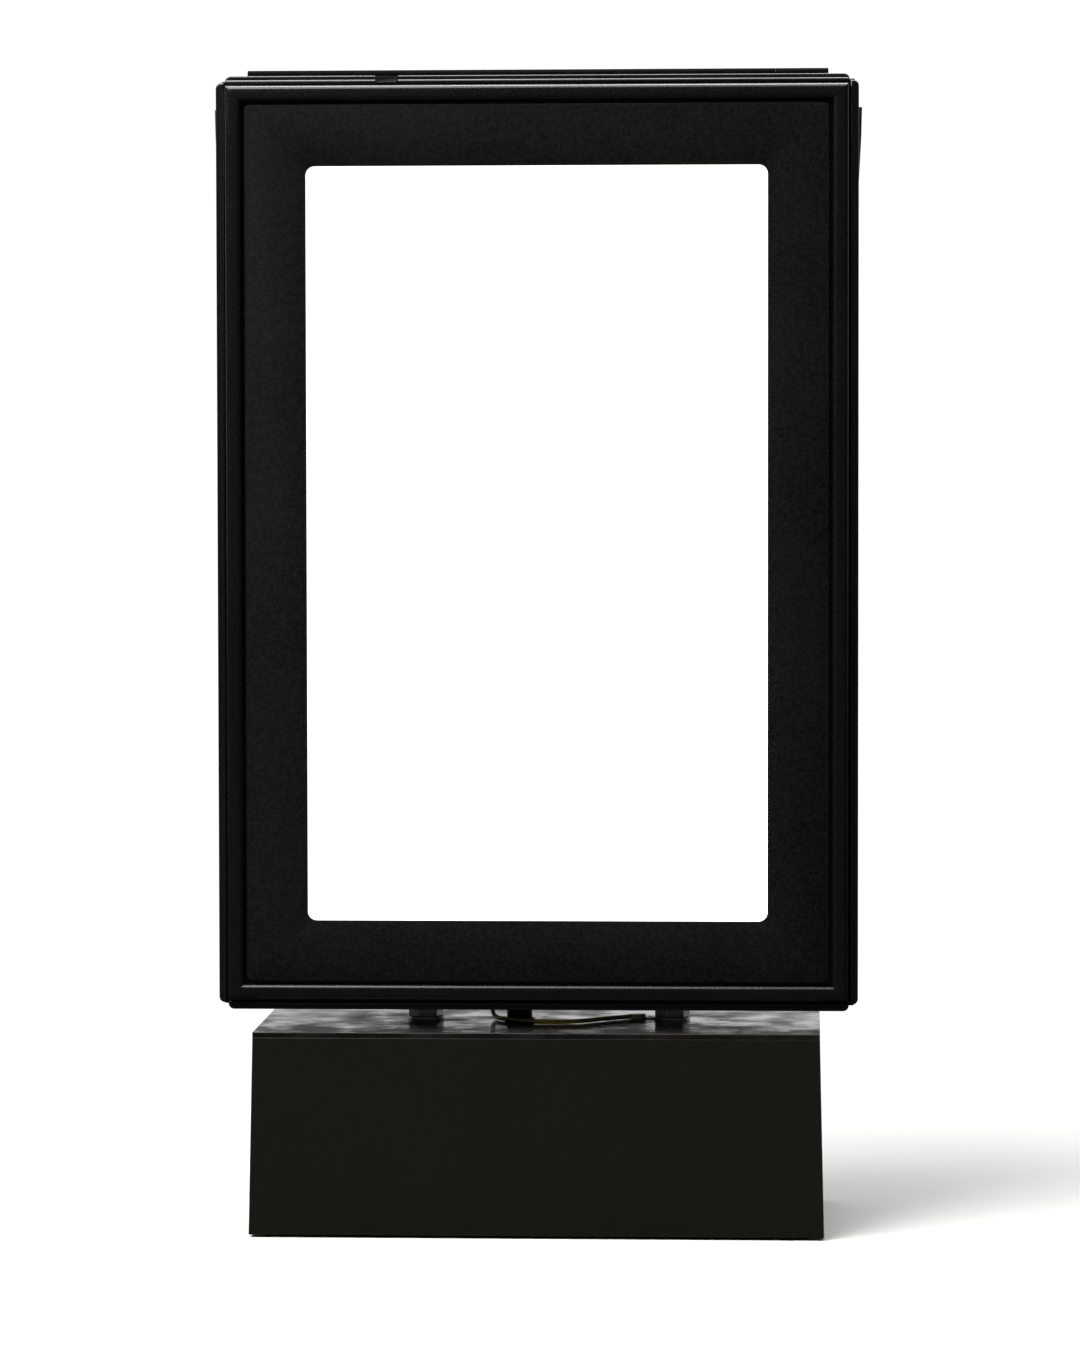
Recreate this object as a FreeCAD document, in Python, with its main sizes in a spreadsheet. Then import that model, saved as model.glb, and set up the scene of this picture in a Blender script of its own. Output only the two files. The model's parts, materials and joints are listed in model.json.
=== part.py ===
"""Free-standing pedestrian traffic light: a lit case with a top-hung door, on a weighted plinth.

Millimetres. +Z is up, the front faces -Y, and the origin is the middle of the footprint on the floor.
"""

import FreeCAD, Part

import math
import os
import re

import Sketcher

doc = FreeCAD.newDocument("PedestrianLight")
sheet = doc.addObject("Spreadsheet::Sheet", "Dimensions")

DIMENSIONS = {
    # plinth
    "plinth_height": 112,
    "plinth_width": 308.6,
    "plinth_depth": 150,
    "plinth_draft": 1.2,
    "plinth_wall": 3,
    "foot_rise": 1.5,
    "foot_radius": 9,
    "foot_x": 142,
    "foot_y": 63,
    "base_low": 3.5,
    "base_thick": 2,
    "ballast_height": 25,
    # joint between plinth and case
    "gap_height": 10,
    "stud_radius": 5,
    "stud_pitch": 137,
    "stud_shift": 4,
    "stud_y": -5,
    "nut_flats": 17,
    "nut_height": 8,
    "washer_radius": 10,
    "washer_thick": 2,
    "bush_x": -12,
    "bush_y": -12,
    "lead_radius": 3.5,
    "earth_radius": 1.2,
    # outline of the door, which hides the case from the front
    "door_width": 350,
    "door_height": 510,
    "door_front": -57,
    # rounded trims pushed over the walls of the door pan
    "trim_width": 4.9,
    "trim_front": -52,
    "trim_back": -42,
    "trim_round": 2.1,
    "trim_end_round": 3.2,
    "trim_top_gap": 3.6,
    "plug_x": -81.5,
    "plug_length": 12.6,
    "plug_height": 3.4,
    # door pan, a folded tray that opens to the front
    "pan_inset": 2.3,
    "pan_front": -50.5,
    "pan_back": -39.5,
    "sheet_thick": 1.5,
    # mitred frame
    "bead_inset": 5.4,
    "bead_width": 8.8,
    "bead_wall": 1.3,
    "ledge_reach": 9.3,
    "ledge_front": -49.7,
    "ledge_thick": 2,
    "mitre_gap": 0.12,
    # mask panel, diffuser and what holds them
    "mask_width": 318,
    "mask_height": 478,
    "mask_front": -55.5,
    "mask_thick": 3,
    "mask_round": 3,
    "window_width": 251.4,
    "window_height": 411.4,
    "window_round": 5,
    "diffuser_lap": 8,
    "diffuser_thick": 3,
    # hinge along the top
    "hinge_y": -38.55,
    "hinge_rise": 0.7,
    "knuckle_radius": 3,
    "pin_radius": 1.25,
    "pin_play": 0.06,
    "hinge_length": 317,
    "knuckle_count": 11,
    "knuckle_gap": 0.3,
    "leaf_thick": 0.8,
    "leaf_reach": 20.7,
    "rivet_shank": 1.6,
    "rivet_head": 2.5,
    "rivet_hole": 1.7,
    # case
    "case_inset": 7,
    "case_rise": 2,
    "case_front": -37.6,
    "case_back": 8,
    "flange": 15,
    "seal_reach": 174.3,
    "seal_bulge": 176.8,
    # rear cover
    "cover_width": 225,
    "cover_high": 596,
    "cover_back": 63,
    "cover_wall": 2.5,
    "cover_flange": 9,
    "cover_round": 7,
    "slot_half": 62,
    "slot_height": 3,
    "slot_pitch": 9,
    # light boxes
    "tray_width": 266,
    "tray_height": 213,
    "tray_front": -36,
    "tray_back": -2,
    "tray_draft": 19,
    "board_thick": 1.6,
    "led_pitch": 32,
    "led_size": 3.5,
    "led_height": 1,
    "gear_front": 2,
}

for row, (alias, size) in enumerate(DIMENSIONS.items(), start=1):
    sheet.set(f"A{row}", alias)
    sheet.set(f"B{row}", str(size))
    sheet.setAlias(f"B{row}", alias)
doc.recompute()

# Levels and planes worked out from the sheet, as expression text.
PLATE_LOW = "(plinth_height - plinth_wall)"
DOOR_LOW = "(plinth_height + gap_height)"
DOOR_HIGH = "(plinth_height + gap_height + door_height)"
MID = "(plinth_height + gap_height + door_height / 2)"
DOOR_EDGE = "(door_width / 2)"
CASE_LOW = f"({DOOR_LOW} + case_rise)"
CASE_HIGH = f"({DOOR_HIGH} - 2 * case_rise)"
CASE_EDGE = "(door_width / 2 - case_inset)"
HINGE_Z = f"({DOOR_HIGH} + hinge_rise)"
LEFT_STUD = "(stud_shift - stud_pitch / 2)"
RIGHT_STUD = "(stud_shift + stud_pitch / 2)"

WORD = re.compile(r"[A-Za-z_][A-Za-z_0-9]*")
PLANES = {"x": "YZ_Plane", "y": "XZ_Plane", "z": "XY_Plane"}
subparts = []


def bound(text):
    """The expression with each dimension's name pointed at its cell."""
    return WORD.sub(lambda found: "Dimensions." + found[0] if found[0] in DIMENSIONS else found[0], text)


def value(text):
    """What an expression is worth now, as a plain number."""
    return float(sheet.evalExpression(text))


def new_body(label):
    body = doc.addObject("PartDesign::Body", label)
    body.Label = label
    subparts.append(body)
    return body


# ---- outlines, drawn in a sketch with every point tied to the sheet


def tie(sketch, geometry, point, x, y):
    """Fix one point of a sketch at two expressions."""
    for kind, text in (("DistanceX", x), ("DistanceY", y)):
        index = sketch.addConstraint(Sketcher.Constraint(kind, -1, 1, geometry, point, value(text)))
        sketch.setExpression(f"Constraints[{index}]", bound(text))


def polygon(*points):
    """A closed outline of straight sides through (x, y) pairs of expressions."""

    def draw(sketch):
        first = sketch.GeometryCount
        corners = [FreeCAD.Vector(value(x), value(y), 0) for x, y in points]
        count = len(corners)
        for i in range(count):
            sketch.addGeometry(Part.LineSegment(corners[i], corners[(i + 1) % count]), False)
        for i in range(count):
            sketch.addConstraint(Sketcher.Constraint("Coincident", first + i, 2, first + (i + 1) % count, 1))
        for i, (x, y) in enumerate(points):
            tie(sketch, first + i, 1, x, y)

    return draw


def rectangle(x_low, y_low, x_high, y_high):
    return polygon((x_low, y_low), (x_high, y_low), (x_high, y_high), (x_low, y_high))


def middle_rectangle(half_width, half_height, x="0", y="0"):
    """A rectangle about a centre."""
    return rectangle(
        f"({x}) - ({half_width})",
        f"({y}) - ({half_height})",
        f"({x}) + ({half_width})",
        f"({y}) + ({half_height})",
    )


def circle(x, y, radius):
    def draw(sketch):
        centre = FreeCAD.Vector(value(x), value(y), 0)
        index = sketch.addGeometry(Part.Circle(centre, FreeCAD.Vector(0, 0, 1), value(radius)), False)
        tie(sketch, index, 3, x, y)
        held = sketch.addConstraint(Sketcher.Constraint("Radius", index, value(radius)))
        sketch.setExpression(f"Constraints[{held}]", bound(radius))

    return draw


def star(x, y, corner_radii, turn=0):
    """A closed outline with one corner for each radius, evenly spaced around a centre."""
    step = 360 / len(corner_radii)
    return polygon(
        *(
            (f"({x}) + ({radius}) * cos({i * step + turn})", f"({y}) + ({radius}) * sin({i * step + turn})")
            for i, radius in enumerate(corner_radii)
        )
    )


def hexagon(x, y, flats, turn=0):
    return star(x, y, [f"({flats}) / sqrt(3)"] * 6, turn)


# ---- features


def sketch_on(body, axis, level, outlines):
    """A sketch square to an axis: its plane stands at that level along the axis."""
    sketch = body.newObject("Sketcher::SketchObject", "Sketch")
    plane = next(f for f in body.Origin.OriginFeatures if f.Role == PLANES[axis])
    sketch.AttachmentSupport = [(plane, "")]
    sketch.MapMode = "FlatFace"
    # The XZ plane's own normal is -Y.
    sketch.setExpression("AttachmentOffset.Base.z", bound(f"-({level})" if axis == "y" else level))
    for draw in outlines:
        draw(sketch)
    return sketch


def add(body, axis, low, high, *outlines, taper=None):
    """Material between two levels along an axis. A taper in degrees widens it away from the sketch."""
    at = high if axis == "y" else low
    pad = body.newObject("PartDesign::Pad", "Pad")
    pad.Profile = sketch_on(body, axis, at, outlines)
    pad.setExpression("Length", bound(f"({high}) - ({low})"))
    if taper is not None:
        pad.setExpression("TaperAngle", bound(taper))
    doc.recompute()
    return pad


def cut(body, axis, low, high, *outlines, taper=None):
    """A hole between two levels along an axis. A taper in degrees widens it away from the sketch."""
    at = low if axis == "y" else high
    before = body.Shape.Volume
    pocket = body.newObject("PartDesign::Pocket", "Pocket")
    pocket.Profile = sketch_on(body, axis, at, outlines)
    pocket.setExpression("Length", bound(f"({high}) - ({low})"))
    if taper is not None:
        pocket.setExpression("TaperAngle", bound(taper))
    doc.recompute()
    if body.Shape.Volume >= before:
        raise RuntimeError(f"{body.Label}: a cut along {axis} took nothing away")
    return pocket


def edge_names(body, keep):
    return [f"Edge{i}" for i, edge in enumerate(body.Shape.Edges, start=1) if keep(edge)]


def dress(body, kind, size_name, size, keep):
    """A fillet or chamfer on the edges that keep() picks."""
    names = edge_names(body, keep)
    if not names:
        raise RuntimeError(f"{body.Label}: no edge to dress")
    feature = body.newObject(kind, kind.split("::")[1])
    feature.Base = (body.Tip, names) if body.Tip != feature else (feature.BaseFeature, names)
    feature.setExpression(size_name, bound(size))
    doc.recompute()
    return feature


def fillet(body, radius, keep):
    return dress(body, "PartDesign::Fillet", "Radius", radius, keep)


def chamfer(body, size, keep):
    return dress(body, "PartDesign::Chamfer", "Size", size, keep)


def near(a, b, slack=0.02):
    return abs(a - b) < slack


def runs_along(edge, axis):
    """True for a straight edge parallel to an axis."""
    box = edge.BoundBox
    sizes = {"x": box.XLength, "y": box.YLength, "z": box.ZLength}
    return sizes[axis] > 0.05 and all(size < 0.01 for name, size in sizes.items() if name != axis)


def plate(label, axis, low, high, *outlines):
    body = new_body(label)
    add(body, axis, low, high, *outlines)
    return body


def block(label, x_low, x_high, y_low, y_high, z_low, z_high):
    return plate(label, "z", z_low, z_high, rectangle(x_low, y_low, x_high, y_high))


def screws(label, axis, face, out, points, head_radius, head_height, shank_radius, length, drive_radius):
    """Identical screws with round heads that stand out of a face, as one group of solids.

    out is +1 or -1: which way along the axis the heads face.
    """
    body = new_body(label)
    head_end = f"({face}) + {out} * ({head_height})"
    shank_end = f"({face}) - {out} * ({length})"
    drive_end = f"({face}) + {out} * ({head_height}) * 0.4"
    add(body, axis, *ordered(face, head_end), *(circle(x, y, head_radius) for x, y in points))
    add(body, axis, *ordered(face, shank_end), *(circle(x, y, shank_radius) for x, y in points))
    for first in range(0, len(points), 4):
        sockets = (hexagon(x, y, f"2 * {drive_radius}") for x, y in points[first : first + 4])
        cut(body, axis, *ordered(drive_end, head_end), *sockets)
    return body


def ordered(first, second):
    return (first, second) if value(first) < value(second) else (second, first)


def corners_of(half_width, half_height, x="0", y="0"):
    """The four corners of a rectangle about a centre."""
    return [
        (f"({x}) + {sx} * ({half_width})", f"({y}) + {sy} * ({half_height})")
        for sx in (-1, 1)
        for sy in (-1, 1)
    ]


def rounded_path(points, radii):
    """A wire of straight runs joined by tangent arcs."""
    corners = [FreeCAD.Vector(*p) for p in points]
    edges = []
    start = corners[0]
    for before, corner, after, radius in zip(corners, corners[1:], corners[2:], radii):
        back = (before - corner).normalize()
        ahead = (after - corner).normalize()
        half = back.getAngle(ahead) / 2
        reach = radius / math.tan(half)
        first = corner + back * reach
        last = corner + ahead * reach
        inward = (back + ahead).normalize()
        centre = corner + inward * math.hypot(reach, radius)
        middle = centre - inward * radius
        edges.append(Part.LineSegment(start, first).toShape())
        edges.append(Part.Arc(first, middle, last).toShape())
        start = last
    edges.append(Part.LineSegment(start, corners[-1]).toShape())
    return Part.Wire(edges)


def tube_shape(points, radii, radius):
    """A solid round tube along a path, checked against its section times its length."""
    path = rounded_path(points, radii)
    direction = path.Edges[0].tangentAt(path.Edges[0].FirstParameter)
    ring = Part.Wire(Part.Circle(FreeCAD.Vector(*points[0]), direction, radius).toShape())
    tube = path.makePipeShell([ring], True, True)
    expected = math.pi * radius**2 * path.Length
    if abs(tube.Volume - expected) > 0.02 * expected:
        raise RuntimeError("a tube's volume is not its section times its length")
    return tube


def tubes(label, routes, radius):
    """Leads that are held all the way, one solid for each route of (points, radii)."""
    feature = doc.addObject("Part::Feature", label)
    feature.Label = label
    shapes = [tube_shape(points, radii, value(radius)) for points, radii in routes]
    feature.Shape = shapes[0] if len(shapes) == 1 else Part.makeCompound(shapes)
    feature.Placement = FreeCAD.Placement()
    subparts.append(feature)
    return feature


# ==== plinth

shell = new_body("plinth_shell")
add(
    shell,
    "z",
    "foot_rise",
    PLATE_LOW,
    middle_rectangle(
        f"plinth_width / 2 + ({PLATE_LOW} - foot_rise) * tan(plinth_draft)",
        f"plinth_depth / 2 + ({PLATE_LOW} - foot_rise) * tan(plinth_draft)",
    ),
    taper="-plinth_draft",
)
cut(
    shell,
    "z",
    "foot_rise",
    PLATE_LOW,
    middle_rectangle("plinth_width / 2 - plinth_wall", "plinth_depth / 2 - plinth_wall"),
    taper="plinth_draft",
)
# The mains inlet shows through this opening in the back wall.
INLET_X = 91
INLET_Z = 48
cut(shell, "y", "plinth_depth / 4", "plinth_depth", middle_rectangle("21", "14", f"{INLET_X}", f"{INLET_Z}"))

top_plate = plate(
    "plinth_top_plate",
    "z",
    PLATE_LOW,
    "plinth_height",
    middle_rectangle("plinth_width / 2", "plinth_depth / 2"),
)
cut(
    top_plate,
    "z",
    PLATE_LOW,
    "plinth_height",
    circle(LEFT_STUD, "stud_y", "stud_radius + 0.5"),
    circle(RIGHT_STUD, "stud_y", "stud_radius + 0.5"),
    circle("bush_x", "bush_y", "lead_radius + 2.5"),
)
fillet(top_plate, "0.4", lambda e: near(e.BoundBox.ZMin, 112) and not e.Curve.TypeId.endswith("Circle"))

BASE_HIGH = "(base_low + base_thick)"
FEET = corners_of("foot_x", "foot_y")
base_plate = plate(
    "plinth_base_plate",
    "z",
    "base_low",
    BASE_HIGH,
    middle_rectangle("plinth_width / 2 - 1.2", "plinth_depth / 2 - 1.2"),
)
cut(base_plate, "z", "base_low", BASE_HIGH, *(circle(x, y, "2.2") for x, y in FEET))

feet = plate("plinth_feet", "z", "0", "base_low", *(circle(x, y, "foot_radius") for x, y in FEET))
cut(feet, "z", "0", "base_low", *(circle(x, y, "2.2") for x, y in FEET))
cut(feet, "z", "0", "2.2", *(circle(x, y, "4.6") for x, y in FEET))
screws("foot_screws", "z", "2.2", -1, FEET, "4", "1.5", "2", "14", "1.3")

cleats = plate("cleat_blocks", "z", BASE_HIGH, "20", *(middle_rectangle("7.5", "7.5", x, y) for x, y in FEET))
add(cleats, "z", "94", PLATE_LOW, *(middle_rectangle("7.5", "7.5", x, y) for x, y in FEET))
cut(cleats, "z", BASE_HIGH, "18", *(circle(x, y, "2.1") for x, y in FEET))
chamfer(cleats, "1", lambda e: runs_along(e, "z") and not near(e.Length, 12.5))

BALLAST_HIGH = f"({BASE_HIGH} + ballast_height)"
ballast = block("ballast_block", "-125", "125", "-60", "44", BASE_HIGH, BALLAST_HIGH)
chamfer(ballast, "1.5", lambda e: near(e.BoundBox.ZMin, value(BALLAST_HIGH)))

supply = block("power_supply", "-110", "40", "-46", "26", BALLAST_HIGH, f"{BALLAST_HIGH} + 36")
SUPPLY_TOP = f"({BALLAST_HIGH} + 36)"
for vent in range(9):
    start = -100 + vent * 9
    cut(
        supply,
        "z",
        f"{SUPPLY_TOP} - 1.5",
        SUPPLY_TOP,
        rectangle(f"{start}", "4", f"{start} + 3", "20"),
        rectangle(f"{start}", "-40", f"{start} + 3", "-24"),
    )

# The mains inlet is fixed behind the back wall: a flange, a boss that fills the wall's opening, a socket
# with three pins, and a rocker switch beside it.
FLANGE_FACE = "(plinth_depth / 2 - 2.2)"
INLET_FACE = "(plinth_depth / 2 + 0.5)"
INLET_BACK = "(plinth_depth / 2 - 25)"
SOCKET_FLOOR = "(plinth_depth / 2 - 17)"
inlet = plate(
    "mains_inlet",
    "y",
    INLET_BACK,
    FLANGE_FACE,
    middle_rectangle("20", "13", f"{INLET_X}", f"{INLET_Z}"),
)
add(
    inlet,
    "y",
    f"{FLANGE_FACE} - 2",
    FLANGE_FACE,
    middle_rectangle("26", "19", f"{INLET_X}", f"{INLET_Z}"),
)
add(inlet, "y", FLANGE_FACE, INLET_FACE, middle_rectangle("20.8", "13.8", f"{INLET_X}", f"{INLET_Z}"))
cut(
    inlet,
    "y",
    SOCKET_FLOOR,
    INLET_FACE,
    polygon(("74", "37"), ("90", "37"), ("90", "54"), ("86", "58"), ("78", "58"), ("74", "54")),
)
cut(inlet, "y", "62", INLET_FACE, rectangle("95", "40", "107", "56"))
for pin_x, pin_z in (("78.5", "45"), ("85.5", "45"), ("82", "51")):
    add(inlet, "y", SOCKET_FLOOR, "70", middle_rectangle("0.9", "2", pin_x, pin_z))

# The rocker's two ends stand out equally half way through its travel, so it rests turned back by half of it.
ROCKER_Y = 69.5
ROCKER_TRAVEL = 12
ROCKER_OUTLINE = [(-3.5, 0), (5.2, -6.2), (7, -6.2), (4.2, 0), (7, 6.2), (5.2, 6.2)]


def turned(y, z, degrees):
    """A point of the rocker's section turned about its pivot."""
    cosine = math.cos(math.radians(degrees))
    sine = math.sin(math.radians(degrees))
    return (f"{ROCKER_Y + y * cosine - z * sine:.4f}", f"{INLET_Z + y * sine + z * cosine:.4f}")


plate(
    "power_rocker",
    "x",
    "95.4",
    "106.6",
    polygon(*(turned(y, z, ROCKER_TRAVEL / 2) for y, z in ROCKER_OUTLINE)),
)

tubes(
    "mains_leads",
    [
        (
            [(83 + 4 * i, 50, 42 + 6 * i), (83 + 4 * i, 8 - 9 * i, 42 + 6 * i), (40, 8 - 9 * i, 42 + 6 * i)],
            [12],
        )
        for i in range(3)
    ],
    "1.3",
)

# ==== studs and leads between plinth and case

STUDS = [(LEFT_STUD, "stud_y"), (RIGHT_STUD, "stud_y")]
FLOOR_HIGH = f"({CASE_LOW} + sheet_thick)"
STIFFENER_HIGH = f"({FLOOR_HIGH} + 4)"
nut_levels = [
    f"({PLATE_LOW} - washer_thick - nut_height)",
    "(plinth_height + washer_thick)",
    f"({STIFFENER_HIGH} + washer_thick)",
]
washer_levels = [
    f"({PLATE_LOW} - washer_thick)",
    "plinth_height",
    f"({CASE_LOW} - washer_thick)",
    STIFFENER_HIGH,
]

studs = plate(
    "mounting_studs",
    "z",
    f"{nut_levels[0]} - 4",
    f"{nut_levels[2]} + nut_height + 4",
    *(circle(x, y, "stud_radius") for x, y in STUDS),
)
chamfer(studs, "1", lambda e: e.Curve.TypeId.endswith("Circle"))

nuts = new_body("stud_nuts")
for level in nut_levels:
    add(nuts, "z", level, f"{level} + nut_height", *(hexagon(x, y, "nut_flats", 11) for x, y in STUDS))
    cut(nuts, "z", level, f"{level} + nut_height", *(circle(x, y, "stud_radius + 0.02") for x, y in STUDS))

washers = new_body("stud_washers")
for level in washer_levels:
    top = f"{level} + washer_thick"
    add(washers, "z", level, top, *(circle(x, y, "washer_radius") for x, y in STUDS))
    cut(washers, "z", level, top, *(circle(x, y, "stud_radius + 0.3") for x, y in STUDS))

bush = plate("plinth_bush", "z", "plinth_height", "plinth_height + 1.8", circle("bush_x", "bush_y", "8.5"))
add(
    bush,
    "z",
    "plinth_height + 1.8",
    "plinth_height + 8",
    star("bush_x", "bush_y", ["7", "7", "6.1", "6.1"] * 12),
)
add(bush, "z", "plinth_height - 8", "plinth_height", circle("bush_x", "bush_y", "lead_radius + 2.4"))
cut(bush, "z", "plinth_height - 8", "plinth_height + 8", circle("bush_x", "bush_y", "lead_radius + 0.15"))

grommet = plate("case_grommet", "z", f"{CASE_LOW} - 1.6", CASE_LOW, circle("bush_x", "bush_y", "8.5"))
add(grommet, "z", CASE_LOW, STIFFENER_HIGH, circle("bush_x", "bush_y", "6"))
add(grommet, "z", STIFFENER_HIGH, f"{STIFFENER_HIGH} + 1.6", circle("bush_x", "bush_y", "8.5"))
cut(
    grommet,
    "z",
    f"{CASE_LOW} - 1.6",
    f"{STIFFENER_HIGH} + 1.6",
    circle("bush_x", "bush_y", "lead_radius + 0.15"),
)

lead_x = value("bush_x")
lead_y = value("bush_y")
tubes(
    "supply_lead",
    [
        (
            [
                (lead_x, lead_y, value(SUPPLY_TOP)),
                (lead_x, lead_y, 160),
                (lead_x, 11, 160),
                (lead_x, 11, 190),
            ],
            [10, 10],
        )
    ],
    "lead_radius",
)

# The earth lead drops out of the case, lies on the plinth in a loop and ends on its terminal.
EARTH_X = "-28"
EARTH_Y = "2"
earth_rest = value("plinth_height + earth_radius + 0.2")
tubes(
    "earth_wire",
    [
        (
            [
                (-28, 2, 150),
                (-28, 2, earth_rest),
                (-20, -20, earth_rest),
                (0, -33, earth_rest),
                (24, -28, earth_rest),
                (38, -10, earth_rest),
                (49.3, -2.4, earth_rest),
            ],
            [8, 20, 24, 20, 12],
        )
    ],
    "earth_radius",
)
earth_end = new_body("earth_terminal")
add(earth_end, "z", "plinth_height", "plinth_height + 1", circle("60", "3", "4.4"))
cut(earth_end, "z", "plinth_height", "plinth_height + 1", circle("60", "3", "2.1"))
add(
    earth_end,
    "z",
    "plinth_height",
    "plinth_height + 2.8",
    polygon(
        ("50.3", "-3.6"),
        ("55", "-1.6"),
        ("57.6", "-0.4"),
        ("56", "2.4"),
        ("53.5", "1.6"),
        ("48.6", "-0.6"),
    ),
)

# ==== case

case = plate(
    "case_pan", "y", "case_front", "case_back", rectangle(f"-{CASE_EDGE}", CASE_LOW, CASE_EDGE, CASE_HIGH)
)
fillet(case, "3", lambda e: runs_along(e, "y"))
cut(
    case,
    "y",
    "case_front + sheet_thick",
    "case_back - sheet_thick",
    rectangle(
        f"sheet_thick - {CASE_EDGE}",
        f"{CASE_LOW} + sheet_thick",
        f"{CASE_EDGE} - sheet_thick",
        f"{CASE_HIGH} - sheet_thick",
    ),
)
cut(
    case,
    "y",
    "case_front",
    "case_front + sheet_thick",
    rectangle(
        f"flange - {CASE_EDGE}", f"{CASE_LOW} + flange", f"{CASE_EDGE} - flange", f"{CASE_HIGH} - flange"
    ),
)
cut(case, "y", "case_back - sheet_thick", "case_back", rectangle("-104", "142", "104", "584"))
cut(
    case,
    "z",
    CASE_LOW,
    FLOOR_HIGH,
    circle(LEFT_STUD, "stud_y", "stud_radius + 0.5"),
    circle(RIGHT_STUD, "stud_y", "stud_radius + 0.5"),
    circle("bush_x", "bush_y", "6.1"),
    circle(EARTH_X, EARTH_Y, "2"),
)

stiffener = plate("case_stiffener", "z", FLOOR_HIGH, STIFFENER_HIGH, rectangle("-110", "-34", "110", "6.2"))
cut(
    stiffener,
    "z",
    FLOOR_HIGH,
    STIFFENER_HIGH,
    circle(LEFT_STUD, "stud_y", "stud_radius + 0.5"),
    circle(RIGHT_STUD, "stud_y", "stud_radius + 0.5"),
    circle("bush_x", "bush_y", "6.1"),
    rectangle("-31", "-1", "-25", "6.2"),
)

COVER_EDGE = "(cover_width / 2)"
cover = plate(
    "rear_cover",
    "y",
    "case_back",
    "cover_back",
    rectangle(f"-{COVER_EDGE}", CASE_LOW, COVER_EDGE, "cover_high"),
)
fillet(cover, "cover_round", lambda e: runs_along(e, "y"))
fillet(cover, "5", lambda e: near(e.BoundBox.YMin, value("cover_back")))
cut(
    cover,
    "y",
    "case_back",
    "cover_back - cover_wall",
    rectangle(
        f"cover_wall - {COVER_EDGE}",
        f"{CASE_LOW} + cover_wall",
        f"{COVER_EDGE} - cover_wall",
        "cover_high - cover_wall",
    ),
)
add(
    cover,
    "y",
    "case_back",
    "case_back + 2",
    rectangle(
        f"-{COVER_EDGE} - cover_flange",
        f"{CASE_LOW} + 6",
        f"-{COVER_EDGE} + 1",
        "cover_high + cover_flange",
    ),
    rectangle(
        f"{COVER_EDGE} - 1",
        f"{CASE_LOW} + 6",
        f"{COVER_EDGE} + cover_flange",
        "cover_high + cover_flange",
    ),
    rectangle(f"2 - {COVER_EDGE}", "cover_high - 1", f"{COVER_EDGE} - 2", "cover_high + cover_flange"),
)
COVER_SCREWS = [
    (f"{side} * ({COVER_EDGE} + cover_flange / 2)", level)
    for side in (-1, 1)
    for level in ("150", "300", "450", "585")
]
cut(cover, "y", "case_back", "case_back + 2", *(circle(x, z, "2.2") for x, z in COVER_SCREWS))
cut(case, "y", "case_back - sheet_thick", "case_back", *(circle(x, z, "2.1") for x, z in COVER_SCREWS))
# Seven air slots low down and seven high up.
for lowest in ("160", "505"):
    for slot in range(7):
        low = f"{lowest} + {slot} * slot_pitch"
        cut(
            cover,
            "y",
            "cover_back - cover_wall",
            "cover_back",
            rectangle("-slot_half", low, "slot_half", f"{low} + slot_height"),
        )
screws("rear_cover_screws", "y", "case_back + 2", 1, COVER_SCREWS, "3.6", "2.4", "2", "3.4", "1.25")

# The seal strips lie on the case's front flange, and their soft lips stand out past the door at the top.
SEAL_HIGH = f"({HINGE_Z} - leaf_reach + 2.4)"
for side, name in ((-1, "left"), (1, "right")):
    plate(
        f"door_seal_{name}",
        "y",
        "case_front - 1.6",
        "case_front",
        polygon(
            (f"{side} * 161", f"{DOOR_LOW} + 8"),
            (f"{side} * seal_reach", f"{DOOR_LOW} + 8"),
            (f"{side} * seal_reach", f"{SEAL_HIGH} - 56"),
            (f"{side} * (seal_bulge - 0.4)", f"{SEAL_HIGH} - 16"),
            (f"{side} * seal_bulge", SEAL_HIGH),
            (f"{side} * 161", SEAL_HIGH),
        ),
    )
plate(
    "door_seal_bottom",
    "y",
    "case_front - 1.6",
    "case_front",
    rectangle("-150", f"{DOOR_LOW} + 4", "150", f"{DOOR_LOW} + 14"),
)
catches = plate(
    "magnet_catches",
    "y",
    "case_front - 0.6",
    "case_front + 9",
    rectangle("-100", f"{CASE_LOW} + flange", "-70", f"{CASE_LOW} + flange + 9"),
    rectangle("70", f"{CASE_LOW} + flange", "100", f"{CASE_LOW} + flange + 9"),
)
fillet(catches, "1.2", lambda e: runs_along(e, "y"))

# ==== hinge

LEAF_LOW = f"({HINGE_Z} - leaf_reach)"
LEAF_HIGH = f"({HINGE_Z} - knuckle_radius - 0.4)"
KNUCKLE = "(hinge_length / knuckle_count)"


def hinge_leaf(label, y_low, y_high, first):
    """One leaf with every other knuckle, from the first on."""
    leaf = plate(
        label,
        "y",
        y_low,
        y_high,
        rectangle("-hinge_length / 2", LEAF_LOW, "hinge_length / 2", LEAF_HIGH),
    )
    spans = []
    for k in range(first, int(value("knuckle_count")), 2):
        low = f"-hinge_length / 2 + {k} * {KNUCKLE} + knuckle_gap / 2"
        high = f"-hinge_length / 2 + {k + 1} * {KNUCKLE} - knuckle_gap / 2"
        spans.append((low, high))
    webs = [rectangle(low, f"{LEAF_HIGH} - 0.5", high, HINGE_Z) for low, high in spans]
    add(leaf, "y", y_low, y_high, *webs)
    for low, high in spans:
        add(leaf, "x", low, high, circle("hinge_y", HINGE_Z, "knuckle_radius"))
    bore = circle("hinge_y", HINGE_Z, "pin_radius + pin_play")
    cut(leaf, "x", "-hinge_length / 2", "hinge_length / 2", bore)
    return leaf


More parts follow.
